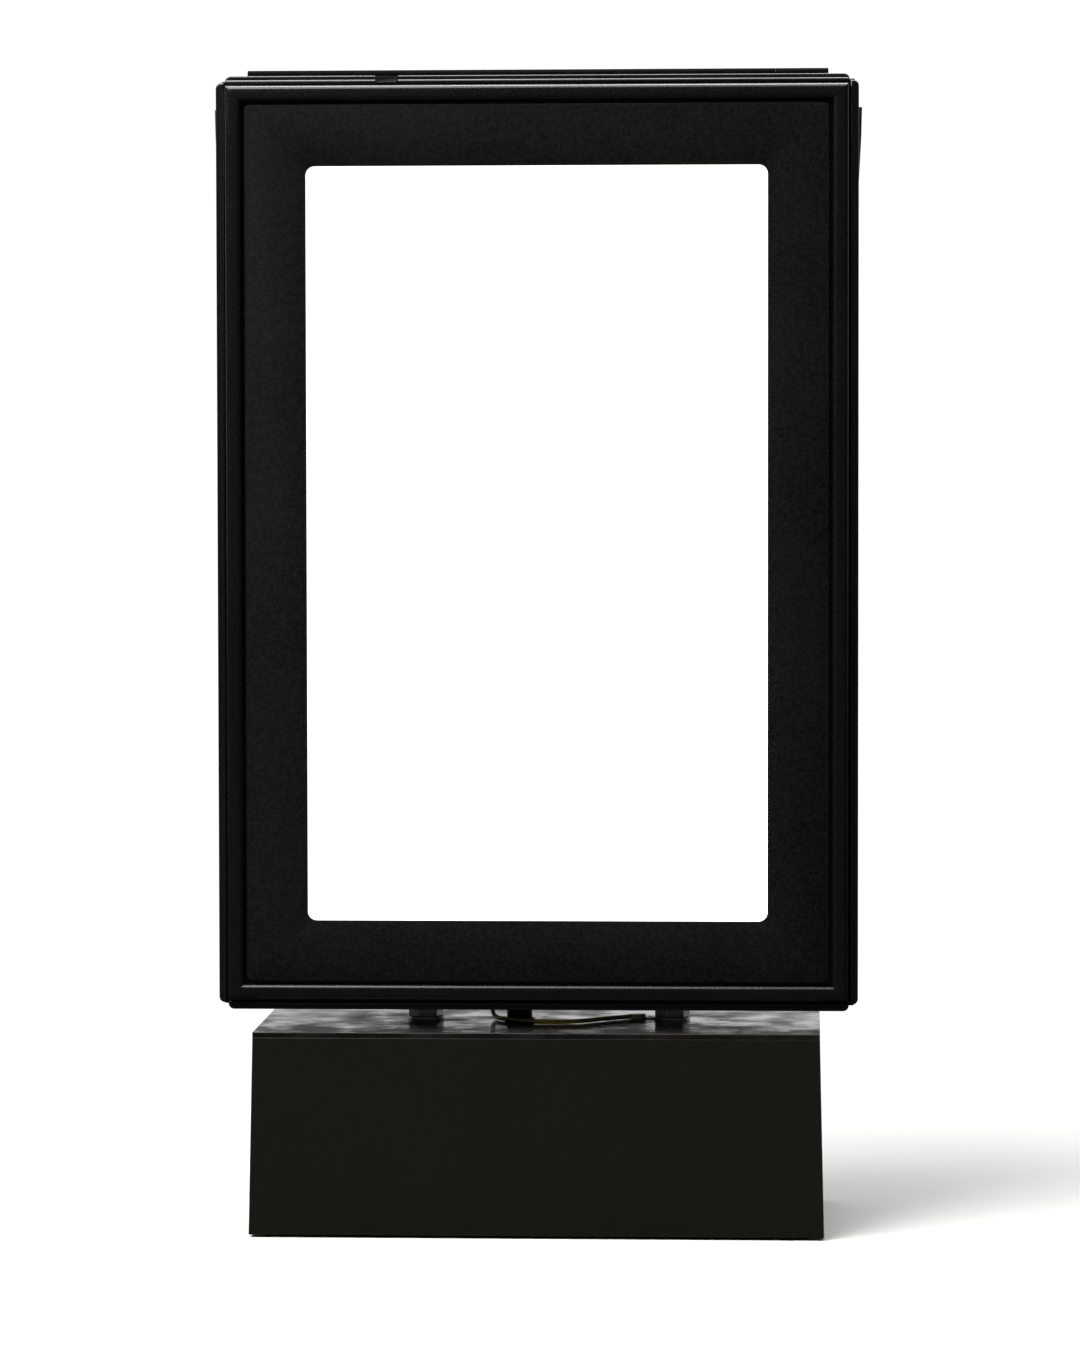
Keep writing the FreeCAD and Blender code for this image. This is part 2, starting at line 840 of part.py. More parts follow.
leaf_door = hinge_leaf("hinge_leaf_door", "pan_back", "pan_back + leaf_thick", 1)
leaf_case = hinge_leaf("hinge_leaf_case", "case_front - leaf_thick", "case_front", 0)
plate(
    "hinge_pin",
    "x",
    "-hinge_length / 2",
    "hinge_length / 2",
    circle("hinge_y", HINGE_Z, "pin_radius"),
)
HINGE_POINTS = [(f"{x}", f"{LEAF_LOW} + 3.2") for x in (-140, -84, -28, 28, 84, 140)]
RIVET_HOLES = [circle(x, z, "rivet_hole") for x, z in HINGE_POINTS]
cut(leaf_door, "y", "pan_back", "pan_back + leaf_thick", *RIVET_HOLES)
cut(leaf_case, "y", "case_front - leaf_thick", "case_front", *RIVET_HOLES)
# Rivets: flush with the leaf's face, and closed on the far side of the sheet.
door_rivets = plate(
    "hinge_rivets_door",
    "y",
    "pan_back - sheet_thick",
    "pan_back + leaf_thick",
    *(circle(x, z, "rivet_shank") for x, z in HINGE_POINTS),
)
add(
    door_rivets,
    "y",
    "pan_back - sheet_thick - 1",
    "pan_back - sheet_thick",
    *(circle(x, z, "rivet_head") for x, z in HINGE_POINTS),
)
case_rivets = plate(
    "hinge_rivets_case",
    "y",
    "case_front - leaf_thick",
    "case_front + sheet_thick",
    *(circle(x, z, "rivet_shank") for x, z in HINGE_POINTS),
)
add(
    case_rivets,
    "y",
    "case_front + sheet_thick",
    "case_front + sheet_thick + 1",
    *(circle(x, z, "rivet_head") for x, z in HINGE_POINTS),
)
cut(case, "y", "case_front", "case_front + sheet_thick", *RIVET_HOLES)

# ==== door

PAN_HALF_WIDTH = "(door_width / 2 - pan_inset)"
PAN_HALF_HEIGHT = "(door_height / 2 - pan_inset)"
pan = plate(
    "door_pan",
    "y",
    "pan_front",
    "pan_back",
    middle_rectangle(PAN_HALF_WIDTH, PAN_HALF_HEIGHT, "0", MID),
)
fillet(pan, "1.2", lambda e: near(e.BoundBox.YMin, value("pan_back")))
cut(
    pan,
    "y",
    "pan_front",
    "pan_back - sheet_thick",
    middle_rectangle(
        f"{PAN_HALF_WIDTH} - sheet_thick",
        f"{PAN_HALF_HEIGHT} - sheet_thick",
        "0",
        MID,
    ),
)
cut(
    pan,
    "y",
    "pan_front",
    "pan_back - sheet_thick",
    *(
        middle_rectangle("5", "6", x, z)
        for x, z in corners_of(PAN_HALF_WIDTH, PAN_HALF_HEIGHT, "0", MID)
    ),
)
cut(
    pan,
    "y",
    "pan_back - sheet_thick",
    "pan_back",
    middle_rectangle("window_width / 2 + 12", "window_height / 2 + 12", "0", MID),
)
cut(pan, "y", "pan_back - sheet_thick", "pan_back", *RIVET_HOLES)

BEAD_HALF_WIDTH = "(door_width / 2 - bead_inset)"
BEAD_HALF_HEIGHT = "(door_height / 2 - bead_inset)"
BEAD_MIDDLE = "(bead_inset + bead_width / 2)"
FRAME_SCREW_POINTS = [
    (f"{side} * (door_width / 2 - {BEAD_MIDDLE})", f"{MID} + {level}")
    for side in (-1, 1)
    for level in (-190, -64, 64, 190)
] + [
    (f"{level}", f"{MID} + {side} * (door_height / 2 - {BEAD_MIDDLE})")
    for side in (-1, 1)
    for level in (-110, 0, 110)
]
cut(
    pan,
    "y",
    "pan_back - sheet_thick",
    "pan_back",
    *(circle(x, z, "3.1") for x, z in FRAME_SCREW_POINTS),
)
screws("frame_screws", "y", "pan_back - sheet_thick", 1, FRAME_SCREW_POINTS, "3", "1.4", "1.5", "6", "1")


def frame_side(label, axis, side, half_length):
    """One side of the mitred frame: a box section with a ledge that carries the mask panel.

    axis is the way it runs, and side is +1 or -1 across that way.
    """
    half = "door_height / 2" if axis == "x" else "door_width / 2"
    centre = MID if axis == "x" else "0"
    offsets = {
        "outer": f"({centre}) + {side} * ({half} - bead_inset)",
        "inner": f"({centre}) + {side} * ({half} - bead_inset - bead_width)",
        "ledge": f"({centre}) + {side} * ({half} - bead_inset - bead_width - ledge_reach)",
        "cavity_out": f"({centre}) + {side} * ({half} - bead_inset - bead_wall)",
        "cavity_in": f"({centre}) + {side} * ({half} - bead_inset - bead_width + bead_wall)",
    }
    back = "(pan_back - sheet_thick)"
    section = [
        ("outer", back),
        ("outer", "door_front"),
        ("inner", "door_front"),
        ("inner", "ledge_front"),
        ("ledge", "ledge_front"),
        ("ledge", "ledge_front + ledge_thick"),
        ("inner", "ledge_front + ledge_thick"),
        ("inner", back),
    ]
    cavity = [
        ("cavity_out", f"{back} - 2"),
        ("cavity_out", "door_front + 1.8"),
        ("cavity_in", "door_front + 1.8"),
        ("cavity_in", f"{back} - 2"),
    ]

    def across(points):
        # A section across X is drawn as (y, z), and one across Z as (x, y).
        if axis == "x":
            return polygon(*((depth, offsets[name]) for name, depth in points))
        return polygon(*((offsets[name], depth) for name, depth in points))

    body = new_body(label)
    middle = "0" if axis == "x" else MID
    low = f"({middle}) - ({half_length})"
    high = f"({middle}) + ({half_length})"
    add(body, axis, low, high, across(section), across(cavity))
    front = value("door_front")
    fillet(
        body,
        "1.9",
        lambda e: runs_along(e, axis) and near(e.BoundBox.YMin, front),
    )
    # Mitres: a triangle off each end, from the outer corner across to the ledge's far side.
    depth = "bead_width + ledge_reach + 1"
    far = f"({centre}) + {side} * ({half} - bead_inset + 1)"
    deep = f"({centre}) + {side} * ({half} - bead_inset - ({depth}))"
    for end in (-1, 1):
        tip = f"({middle}) + {end} * ({half_length} + 1 - mitre_gap)"
        out = f"({middle}) + {end} * ({half_length} + 3)"
        heel = f"({middle}) + {end} * ({half_length} - ({depth}) - mitre_gap)"
        triangle = [(tip, far), (out, far), (out, deep), (heel, deep)]
        if axis == "z":
            triangle = [(b, a) for a, b in triangle]
        cut(body, "y", "door_front", back, polygon(*triangle))
    screw_holes = [
        (x, z)
        for x, z in FRAME_SCREW_POINTS
        if near(value(z if axis == "x" else x), value(f"({centre}) + {side} * ({half} - {BEAD_MIDDLE})"))
    ]
    cut(body, "y", f"{back} - 2", back, *(circle(x, z, "1.6") for x, z in screw_holes))
    return body


frame_side("frame_top", "x", 1, BEAD_HALF_WIDTH)
frame_side("frame_bottom", "x", -1, BEAD_HALF_WIDTH)
frame_side("frame_left", "z", -1, BEAD_HALF_HEIGHT)
frame_side("frame_right", "z", 1, BEAD_HALF_HEIGHT)


def key_outline(side_x, side_z):
    """An L that fills the frame's hollow around one corner."""
    out_x = "(door_width / 2 - bead_inset - bead_wall - 0.2)"
    out_z = "(door_height / 2 - bead_inset - bead_wall - 0.2)"
    arm = "(bead_width - 2 * bead_wall - 0.4)"
    steps = [("0", "0"), ("0", "40"), (arm, "40"), (arm, arm), ("40", arm), ("40", "0")]
    return polygon(
        *((f"{side_x} * ({out_x} - ({dx}))", f"{MID} + {side_z} * ({out_z} - ({dz}))") for dx, dz in steps)
    )


plate(
    "corner_keys",
    "y",
    "door_front + 2",
    "pan_back - sheet_thick - 2.2",
    *(key_outline(sx, sz) for sx in (-1, 1) for sz in (-1, 1)),
)


def edge_trim(label, x_low, x_high, z_low, z_high, slot):
    """A rounded trim with a slot that takes the edge of one wall of the door pan."""
    trim = plate(label, "y", "trim_front", "trim_back", rectangle(x_low, z_low, x_high, z_high))
    fillet(trim, "trim_end_round", lambda e: runs_along(e, "y") and outer_corner(e))
    front = value("trim_front")
    fillet(trim, "trim_round", lambda e: near(e.BoundBox.YMin, front) and near(e.BoundBox.YMax, front))
    cut(trim, "y", "pan_front", "trim_back", slot)
    return trim


def outer_corner(edge):
    """True for an edge on the outside of the door's outline, not on its inside."""
    box = edge.BoundBox
    on_side = near(abs(box.XMin), value(DOOR_EDGE))
    on_end = near(box.ZMin, value(DOOR_LOW)) or near(box.ZMin, value(DOOR_HIGH))
    return on_side or on_end


TRIM_END = "(door_width / 2 - trim_width - 0.1)"
SIDE_TRIM_LOW = f"({DOOR_LOW} + trim_top_gap)"
SIDE_TRIM_HIGH = f"({DOOR_HIGH} - trim_top_gap)"
for side, name in ((-1, "left"), (1, "right")):
    x_low, x_high = ordered(f"{side} * (door_width / 2 - trim_width)", f"{side} * door_width / 2")
    slot_low, slot_high = ordered(
        f"{side} * (door_width / 2 - pan_inset - sheet_thick)", f"{side} * (door_width / 2 - pan_inset)"
    )
    edge_trim(
        f"edge_trim_{name}",
        x_low,
        x_high,
        SIDE_TRIM_LOW,
        SIDE_TRIM_HIGH,
        rectangle(slot_low, f"{SIDE_TRIM_LOW} - 2", slot_high, f"{SIDE_TRIM_HIGH} + 2"),
    )

top_trim = edge_trim(
    "edge_trim_top",
    f"-{TRIM_END}",
    TRIM_END,
    f"{DOOR_HIGH} - trim_width",
    DOOR_HIGH,
    rectangle(
        f"-{TRIM_END} - 2",
        f"{DOOR_HIGH} - pan_inset - sheet_thick",
        f"{TRIM_END} + 2",
        f"{DOOR_HIGH} - pan_inset",
    ),
)
edge_trim(
    "edge_trim_bottom",
    f"-{TRIM_END}",
    TRIM_END,
    DOOR_LOW,
    f"{DOOR_LOW} + trim_width",
    rectangle(
        f"-{TRIM_END} - 2",
        f"{DOOR_LOW} + pan_inset",
        f"{TRIM_END} + 2",
        f"{DOOR_LOW} + pan_inset + sheet_thick",
    ),
)

# A small plug fills the slot in the top trim.
PLUG_Z = f"({DOOR_HIGH} - trim_width / 2)"
cut(
    top_trim,
    "y",
    "trim_front",
    "pan_front",
    middle_rectangle("plug_length / 2", "plug_height / 2", "plug_x", PLUG_Z),
)
plug = plate(
    "top_plug",
    "y",
    "trim_front - 0.7",
    "pan_front",
    middle_rectangle("plug_length / 2 - 0.08", "plug_height / 2 - 0.08", "plug_x", PLUG_Z),
)
fillet(plug, "0.6", lambda e: near(e.BoundBox.YMax, value("trim_front - 0.7")))

mask = plate(
    "mask_panel",
    "y",
    "mask_front",
    "mask_front + mask_thick",
    middle_rectangle("mask_width / 2", "mask_height / 2", "0", MID),
)
fillet(mask, "mask_round", lambda e: runs_along(e, "y"))
cut(
    mask,
    "y",
    "mask_front",
    "mask_front + mask_thick",
    middle_rectangle("window_width / 2", "window_height / 2", "0", MID),
)
window_edge = value("window_width / 2")
fillet(mask, "window_round", lambda e: runs_along(e, "y") and near(abs(e.BoundBox.XMin), window_edge))
fillet(mask, "0.9", lambda e: near(e.BoundBox.YMax, value("mask_front")))

plate(
    "panel_gasket",
    "y",
    "mask_front + mask_thick",
    "ledge_front",
    middle_rectangle("mask_width / 2 - 0.6", "mask_height / 2 - 0.6", "0", MID),
    middle_rectangle("mask_width / 2 - 6.5", "mask_height / 2 - 6.5", "0", MID),
)

DIFFUSER_HALF_WIDTH = "(window_width / 2 + diffuser_lap)"
DIFFUSER_HALF_HEIGHT = "(window_height / 2 + diffuser_lap)"
MASK_BACK = "(mask_front + mask_thick)"
diffuser = plate(
    "diffuser",
    "y",
    MASK_BACK,
    f"{MASK_BACK} + diffuser_thick",
    middle_rectangle(DIFFUSER_HALF_WIDTH, DIFFUSER_HALF_HEIGHT, "0", MID),
)
fillet(diffuser, "4", lambda e: runs_along(e, "y"))


def clip_section(edge, side, centre, drawn_as):
    """A Z-shaped clip: its foot on the mask panel, its lip behind the diffuser."""
    steps = [
        ("0.7", "0"),
        ("12", "0"),
        ("12", "1.2"),
        ("1.9", "1.2"),
        ("1.9", "diffuser_thick + 1.2"),
        ("-6", "diffuser_thick + 1.2"),
        ("-6", "diffuser_thick"),
        ("0.7", "diffuser_thick"),
    ]
    points = [(f"({centre}) + {side} * ({edge} + {out})", f"{MASK_BACK} + {depth}") for out, depth in steps]
    return polygon(*(points if drawn_as == "xy" else [(b, a) for a, b in points]))


clips = new_body("diffuser_clips")
for level in (-150, 0, 150):
    add(
        clips,
        "z",
        f"{MID} + {level} - 8",
        f"{MID} + {level} + 8",
        clip_section(DIFFUSER_HALF_WIDTH, -1, "0", "xy"),
        clip_section(DIFFUSER_HALF_WIDTH, 1, "0", "xy"),
    )
for level in (-80, 80):
    add(
        clips,
        "x",
        f"{level} - 8",
        f"{level} + 8",
        clip_section(DIFFUSER_HALF_HEIGHT, -1, MID, "yz"),
        clip_section(DIFFUSER_HALF_HEIGHT, 1, MID, "yz"),
    )

# ==== light boxes and gear

UPPER = f"({MID} + tray_height / 2 + 1)"
LOWER = f"({MID} - tray_height / 2 - 1)"
BOARD_BACK = "(tray_back + 2)"
BOARD_FRONT = f"({BOARD_BACK} - board_thick)"
BOARD_HALF_WIDTH = "108"
BOARD_HALF_HEIGHT = "81"
FIXING_X = "100"
FIXING_Z = "74"
GEAR_BACK = "(gear_front + 2)"


def light_box(name, centre):
    """A white tray open to the front, with a board of lamps as its floor."""
    tray = new_body(f"reflector_{name}")
    depth = "(tray_back - tray_front)"
    slope = f"({depth} * tan(tray_draft))"
    # The pad starts from its back, which is smaller than its front.
    add(
        tray,
        "y",
        "tray_front",
        "tray_back",
        middle_rectangle(f"tray_width / 2 - {slope}", f"tray_height / 2 - {slope}", "0", centre),
        taper="tray_draft",
    )
    cut(
        tray,
        "y",
        "tray_front",
        "tray_back - 1.5",
        middle_rectangle("tray_width / 2 - 1.6", "tray_height / 2 - 1.6", "0", centre),
        taper="-tray_draft",
    )
    cut(
        tray,
        "y",
        "tray_back - 1.5",
        "tray_back",
        middle_rectangle(f"{BOARD_HALF_WIDTH} - 1.5", f"{BOARD_HALF_HEIGHT} - 1.5", "0", centre),
    )
    board = plate(
        f"led_board_{name}",
        "y",
        BOARD_FRONT,
        BOARD_BACK,
        middle_rectangle(BOARD_HALF_WIDTH, BOARD_HALF_HEIGHT, "0", centre),
    )
    cut(
        board,
        "y",
        BOARD_FRONT,
        BOARD_BACK,
        *(circle(x, z, "1.7") for x, z in corners_of(FIXING_X, FIXING_Z, "0", centre)),
    )


light_box("upper", UPPER)
light_box("lower", LOWER)
# One sketch for each line of lamps keeps the sketches small.
leds = new_body("leds")
for centre in (LOWER, UPPER):
    for line in range(-2, 3):
        level = f"{centre} + {line} * led_pitch"
        columns = [f"({column} + 0.5) * led_pitch" for column in range(-3, 3)]
        add(
            leds,
            "y",
            f"{BOARD_FRONT} - led_height",
            BOARD_FRONT,
            *(middle_rectangle("led_size / 2", "led_size / 2", x, level) for x in columns),
        )
BOARD_POINTS = corners_of(FIXING_X, FIXING_Z, "0", UPPER) + corners_of(FIXING_X, FIXING_Z, "0", LOWER)
screws("board_screws", "y", BOARD_FRONT, -1, BOARD_POINTS, "3", "1.8", "1.6", "board_thick + 5", "1")

gear = plate("gear_plate", "y", "gear_front", GEAR_BACK, rectangle("-134", "178", "134", "594"))
add(gear, "y", BOARD_BACK, "gear_front", *(circle(x, z, "3.4") for x, z in BOARD_POINTS))
cut(gear, "y", BOARD_BACK, GEAR_BACK, *(circle(x, z, "1.65") for x, z in BOARD_POINTS))
add(
    gear,
    "y",
    GEAR_BACK,
    "case_back - sheet_thick",
    rectangle("-134", "200", "-118", "570"),
    rectangle("118", "200", "134", "570"),
)
DRIVER_TOPS = {"upper": "500", "lower": "286"}
cut(
    gear,
    "y",
    "gear_front",
    GEAR_BACK,
    *(circle("0", f"{top} + 14", "2.2") for top in DRIVER_TOPS.values()),
)

drivers = plate(
    "led_drivers",
    "y",
    GEAR_BACK,
    f"{GEAR_BACK} + 24",
    *(rectangle("-45", f"{top} - 36", "45", top) for top in DRIVER_TOPS.values()),
)
fillet(drivers, "2", lambda e: runs_along(e, "y"))
driver_mid = value(f"{GEAR_BACK} + 12")
tubes(
    "driver_leads",
    [
        (
            [
                (0, driver_mid, float(top)),
                (0, driver_mid, float(top) + 14),
                (0, value(BOARD_BACK), float(top) + 14),
            ],
            [7],
        )
        for top in DRIVER_TOPS.values()
    ],
    "1.2",
)

control = plate(
    "control_board", "y", f"{GEAR_BACK} + 6", f"{GEAR_BACK} + 7.6", rectangle("-60", "330", "60", "430")
)
add(
    control,
    "y",
    GEAR_BACK,
    f"{GEAR_BACK} + 6",
    *(circle(x, z, "3") for x, z in corners_of("54", "44", "0", "380")),
)
add(
    control,
    "y",
    f"{GEAR_BACK} + 7.6",
    f"{GEAR_BACK} + 23",
    *(rectangle(f"{x}", "395", f"{x} + 20", "423") for x in (-52, -26, 0, 26)),
)
add(control, "y", f"{GEAR_BACK} + 7.6", f"{GEAR_BACK} + 10", rectangle("-20", "350", "4", "374"))
add(
    control,
    "y",
    f"{GEAR_BACK} + 7.6",
    f"{GEAR_BACK} + 20",
    circle("30", "362", "6"),
    circle("44", "362", "6"),
)

terminals = plate("terminal_block", "y", GEAR_BACK, f"{GEAR_BACK} + 14", rectangle("-48", "190", "24", "208"))
cut(
    terminals,
    "y",
    f"{GEAR_BACK} + 5",
    f"{GEAR_BACK} + 14",
    *(circle(f"{-42 + 12 * i}", "199", "2.4") for i in range(6)),
)


def check_and_write():
    """Stop if anything failed, then write one STEP file for each sub-part."""
    doc.recompute()
    for item in doc.Objects:
        if "Invalid" in item.State or "Error" in item.State:
            raise RuntimeError(f"{item.Label} failed: {item.State}")
    os.makedirs("parts", exist_ok=True)
    for item in subparts:
        shape = item.Shape
        if shape.isNull() or not shape.isValid():
            raise RuntimeError(f"{item.Label} has no valid shape")
        shape.exportStep(os.path.join("parts", f"{item.Label}.step"))
        box = shape.BoundBox
        print(
            f"{item.Label:20s} solids {len(shape.Solids):3d}  x {box.XMin:8.2f} {box.XMax:8.2f}"
            f"  y {box.YMin:7.2f} {box.YMax:7.2f}  z {box.ZMin:7.2f} {box.ZMax:7.2f}"
        )
    print(len(subparts), "sub-parts")


check_and_write()
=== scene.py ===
# %% [markdown]
# # A free-standing pedestrian signal box, finished in Blender
#
# The unit is a shallow black case with a lit window, standing on a gloss black plinth. Its measured frame comes
# from the CAD model, so every piece here is made in metres and at its real place. Each step below says what the
# piece is on the real object, how it could be made, and why this way was chosen.

# %% Loading the measured frame
import json
import math

import bmesh
import bpy
from mathutils import Matrix, Vector

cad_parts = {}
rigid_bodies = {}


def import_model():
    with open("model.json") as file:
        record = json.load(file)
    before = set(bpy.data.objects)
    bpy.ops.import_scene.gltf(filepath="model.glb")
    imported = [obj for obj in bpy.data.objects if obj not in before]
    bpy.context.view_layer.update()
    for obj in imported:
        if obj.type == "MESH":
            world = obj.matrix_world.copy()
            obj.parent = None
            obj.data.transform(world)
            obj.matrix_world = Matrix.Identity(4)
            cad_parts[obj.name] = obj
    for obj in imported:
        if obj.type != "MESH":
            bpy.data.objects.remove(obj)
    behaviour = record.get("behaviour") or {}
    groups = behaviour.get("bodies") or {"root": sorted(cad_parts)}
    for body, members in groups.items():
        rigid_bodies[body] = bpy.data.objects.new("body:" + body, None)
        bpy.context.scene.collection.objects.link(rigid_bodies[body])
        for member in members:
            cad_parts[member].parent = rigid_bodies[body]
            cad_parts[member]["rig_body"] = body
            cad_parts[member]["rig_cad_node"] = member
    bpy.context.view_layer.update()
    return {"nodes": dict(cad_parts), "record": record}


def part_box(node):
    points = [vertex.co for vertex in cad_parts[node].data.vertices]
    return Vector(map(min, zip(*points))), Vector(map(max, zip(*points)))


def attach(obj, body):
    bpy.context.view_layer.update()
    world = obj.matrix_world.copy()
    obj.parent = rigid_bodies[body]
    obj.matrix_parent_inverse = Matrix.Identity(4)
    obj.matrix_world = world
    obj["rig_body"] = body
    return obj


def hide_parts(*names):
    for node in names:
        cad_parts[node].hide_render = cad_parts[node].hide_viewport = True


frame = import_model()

MM = 0.001
record = frame["record"]
SLOT_OF = {part["node"]: part["material_slot"] for part in record["subparts"]}
BODY_OF = {node: body for body, nodes in record["behaviour"]["bodies"].items() for node in nodes}


# %% [markdown]
# ## Camera
#
# The unit is looked at from a little to its right and a little above its middle, through a long lens, so that
# upright edges stay nearly parallel. The camera is turned by three small angles, because a person holding it
# never levels it perfectly.

# %% Placing the camera
CAMERA_PLACE = Vector((0.146, -2.84, 0.428))
CAMERA_YAW = math.radians(2.964)
CAMERA_PITCH = math.radians(2.508)
CAMERA_ROLL = math.radians(-0.087)

camera_data = bpy.data.cameras.new("camera")
camera_data.sensor_fit = "VERTICAL"
camera_data.sensor_height = 36
camera_data.lens = 136.6
camera = bpy.data.objects.new("camera", camera_data)
bpy.context.scene.collection.objects.link(camera)
aim = Matrix.Rotation(CAMERA_YAW, 4, "Z") @ Matrix.Rotation(math.pi / 2 - CAMERA_PITCH, 4, "X")
camera.matrix_world = Matrix.Translation(CAMERA_PLACE) @ aim @ Matrix.Rotation(CAMERA_ROLL, 4, "Z")
bpy.context.scene.camera = camera
print("camera at", [round(value, 3) for value in camera.location])


# %% [markdown]
# ## Small helpers for nodes
#
# A material is a small graph. Written out node by node it takes pages, so one helper places a node with its
# settings and its inputs: an input is either a plain value or another node's output.

# %% Placing nodes
def place(tree, kind, inputs=None, **settings):
    made = tree.nodes.new("ShaderNode" + kind)
    for key, setting in settings.items():
        setattr(made, key, setting)
    for name, given in (inputs or {}).items():
        if isinstance(given, bpy.types.NodeSocket):
            tree.links.new(given, made.inputs[name])
        else:
            made.inputs[name].default_value = given
    return made


def mixed(tree, mask, first, second):
    """The first colour where the mask is 0 and the second where it is 1."""
    return place(tree, "Mix", {0: mask, 6: first, 7: second}, data_type="RGBA").outputs[2]


def ramped(tree, source, low, high, to_low=0.0, to_high=1.0):
    """A value spread from one span to another and held at its ends."""
    inputs = {"Value": source, "From Min": low, "From Max": high, "To Min": to_low, "To Max": to_high}
    return place(tree, "MapRange", inputs).outputs["Result"]


def grey(level):
    return (level, level, level, 1.0)


print("node helpers ready")


# %% [markdown]
# ## Studio
#
# A black gloss object shows mostly what surrounds it. The floor and the backdrop are pale, the key light is
# large and comes from the front left, and a long soft light overhead draws one thin line along each rounded top
# edge. The room seen by reflections is bright behind the unit and dim in front of it, like a dark studio with a
# lit sweep. That keeps the black faces deep.

# %% Floor and backdrop
def stage_material():
    """Pale paper to the eye, fading into the backdrop, and dim in reflections."""
    material = bpy.data.materials.new("pale_floor")
    material.use_nodes = True
    tree = material.node_tree
    tree.nodes.clear()
    path = place(tree, "LightPath")
    where = place(tree, "TexCoord").outputs["Object"]
    distance = place(tree, "VectorMath", {0: where}, operation="LENGTH").outputs["Value"]
    paper = place(tree, "BsdfDiffuse", {"Color": (0.92, 0.925, 0.9, 1.0)})
    glow = place(tree, "Emission", {"Color": grey(1.0), "Strength": 1.05})
    far = ramped(tree, distance, 0.4, 0.9)
    pale = place(tree, "MixShader", {0: far, 1: paper.outputs[0], 2: glow.outputs[0]})
    dim = place(tree, "BsdfDiffuse", {"Color": grey(0.03)})
    seen = place(tree, "MixShader", {0: path.outputs["Is Camera Ray"], 1: dim.outputs[0], 2: pale.outputs[0]})
    place(tree, "OutputMaterial", {"Surface": seen.outputs[0]})
    return material


bpy.ops.object.select_all(action="DESELECT")
bpy.ops.mesh.primitive_plane_add(size=40, location=(0, 0, 0))
floor = bpy.context.object
floor.name = "floor"
floor.data.materials.append(stage_material())
print("floor", tuple(round(side, 1) for side in floor.dimensions))


# %% The room, as the camera and the reflections see it
def room_world():
    world = bpy.data.worlds.new("room")
    world.use_nodes = True
    tree = world.node_tree
    tree.nodes.clear()
    path = place(tree, "LightPath")
    direction = place(tree, "TexCoord").outputs["Generated"]
    parts = place(tree, "SeparateXYZ", {0: direction})
    behind = ramped(tree, parts.outputs["Y"], 0.15, 0.75, 0.05, 1.0)
    tone = place(tree, "CombineColor", {"Red": behind, "Green": behind, "Blue": behind}).outputs[0]
    room = place(tree, "Background", {"Color": tone, "Strength": 1.0})
    sky = place(tree, "Background", {"Color": grey(1.0), "Strength": 1.05})
    seen = place(tree, "MixShader", {0: path.outputs["Is Camera Ray"], 1: room.outputs[0], 2: sky.outputs[0]})
    place(tree, "OutputWorld", {"Surface": seen.outputs[0]})
    return world


bpy.context.scene.world = room_world()
bpy.context.scene.view_settings.view_transform = "Standard"
print("room is", bpy.context.scene.world.name)


# %% Lights
def soft_light(name, place_at, aim_at, width, depth, power, lights_surfaces=True):
    data = bpy.data.lights.new(name, "AREA")
    data.shape = "RECTANGLE"
    data.size = width
    data.size_y = depth
    data.energy = power
    lamp = bpy.data.objects.new(name, data)
    bpy.context.scene.collection.objects.link(lamp)
    lamp.location = place_at
    lamp.rotation_euler = (Vector(aim_at) - Vector(place_at)).to_track_quat("-Z", "Y").to_euler()
    lamp.visible_diffuse = lights_surfaces
    return lamp


soft_light("key_light", (-1.5, -1.5, 2.6), (0.1, 0, 0.1), 2.6, 2.6, 165)
soft_light("floor_fill", (0.4, -0.6, 3.6), (0, 0, 0), 4.0, 4.0, 78)
soft_light("overhead_strip", (0, 0.15, 1.9), (0, 0, 0.6), 2.2, 0.5, 60, lights_surfaces=False)


# %% [markdown]
# ## Surface effects that several finishes share
#
# Leather-like grain, fine scratches, settled dust and rubbed edges each appear on many pieces. Painting them
# into every material would repeat the same nodes, so each one is a node group with named inputs, and a material
# places the group with its own values.

# %% A helper for node groups
def new_group(name, inputs, outputs):
    group = bpy.data.node_groups.new(name, "ShaderNodeTree")
    for label, value in inputs:
        socket = group.interface.new_socket(name=label, in_out="INPUT", socket_type="NodeSocketFloat")
        socket.default_value = value
    for label in outputs:
        group.interface.new_socket(name=label, in_out="OUTPUT", socket_type="NodeSocketFloat")
    return group, group.nodes.new("NodeGroupInput"), group.nodes.new("NodeGroupOutput")


def per_metre(tree, size):
    """How many features fit in a metre, from the size of one."""
    return place(tree, "Math", {0: 1.0, 1: size}, operation="DIVIDE").outputs[0]


def use_group(tree, group, **inputs):
    made = tree.nodes.new("ShaderNodeGroup")
    made.node_tree = group
    for name, value in inputs.items():
        made.inputs[name.replace("_", " ").capitalize()].default_value = value
    return made


print("group helper ready")


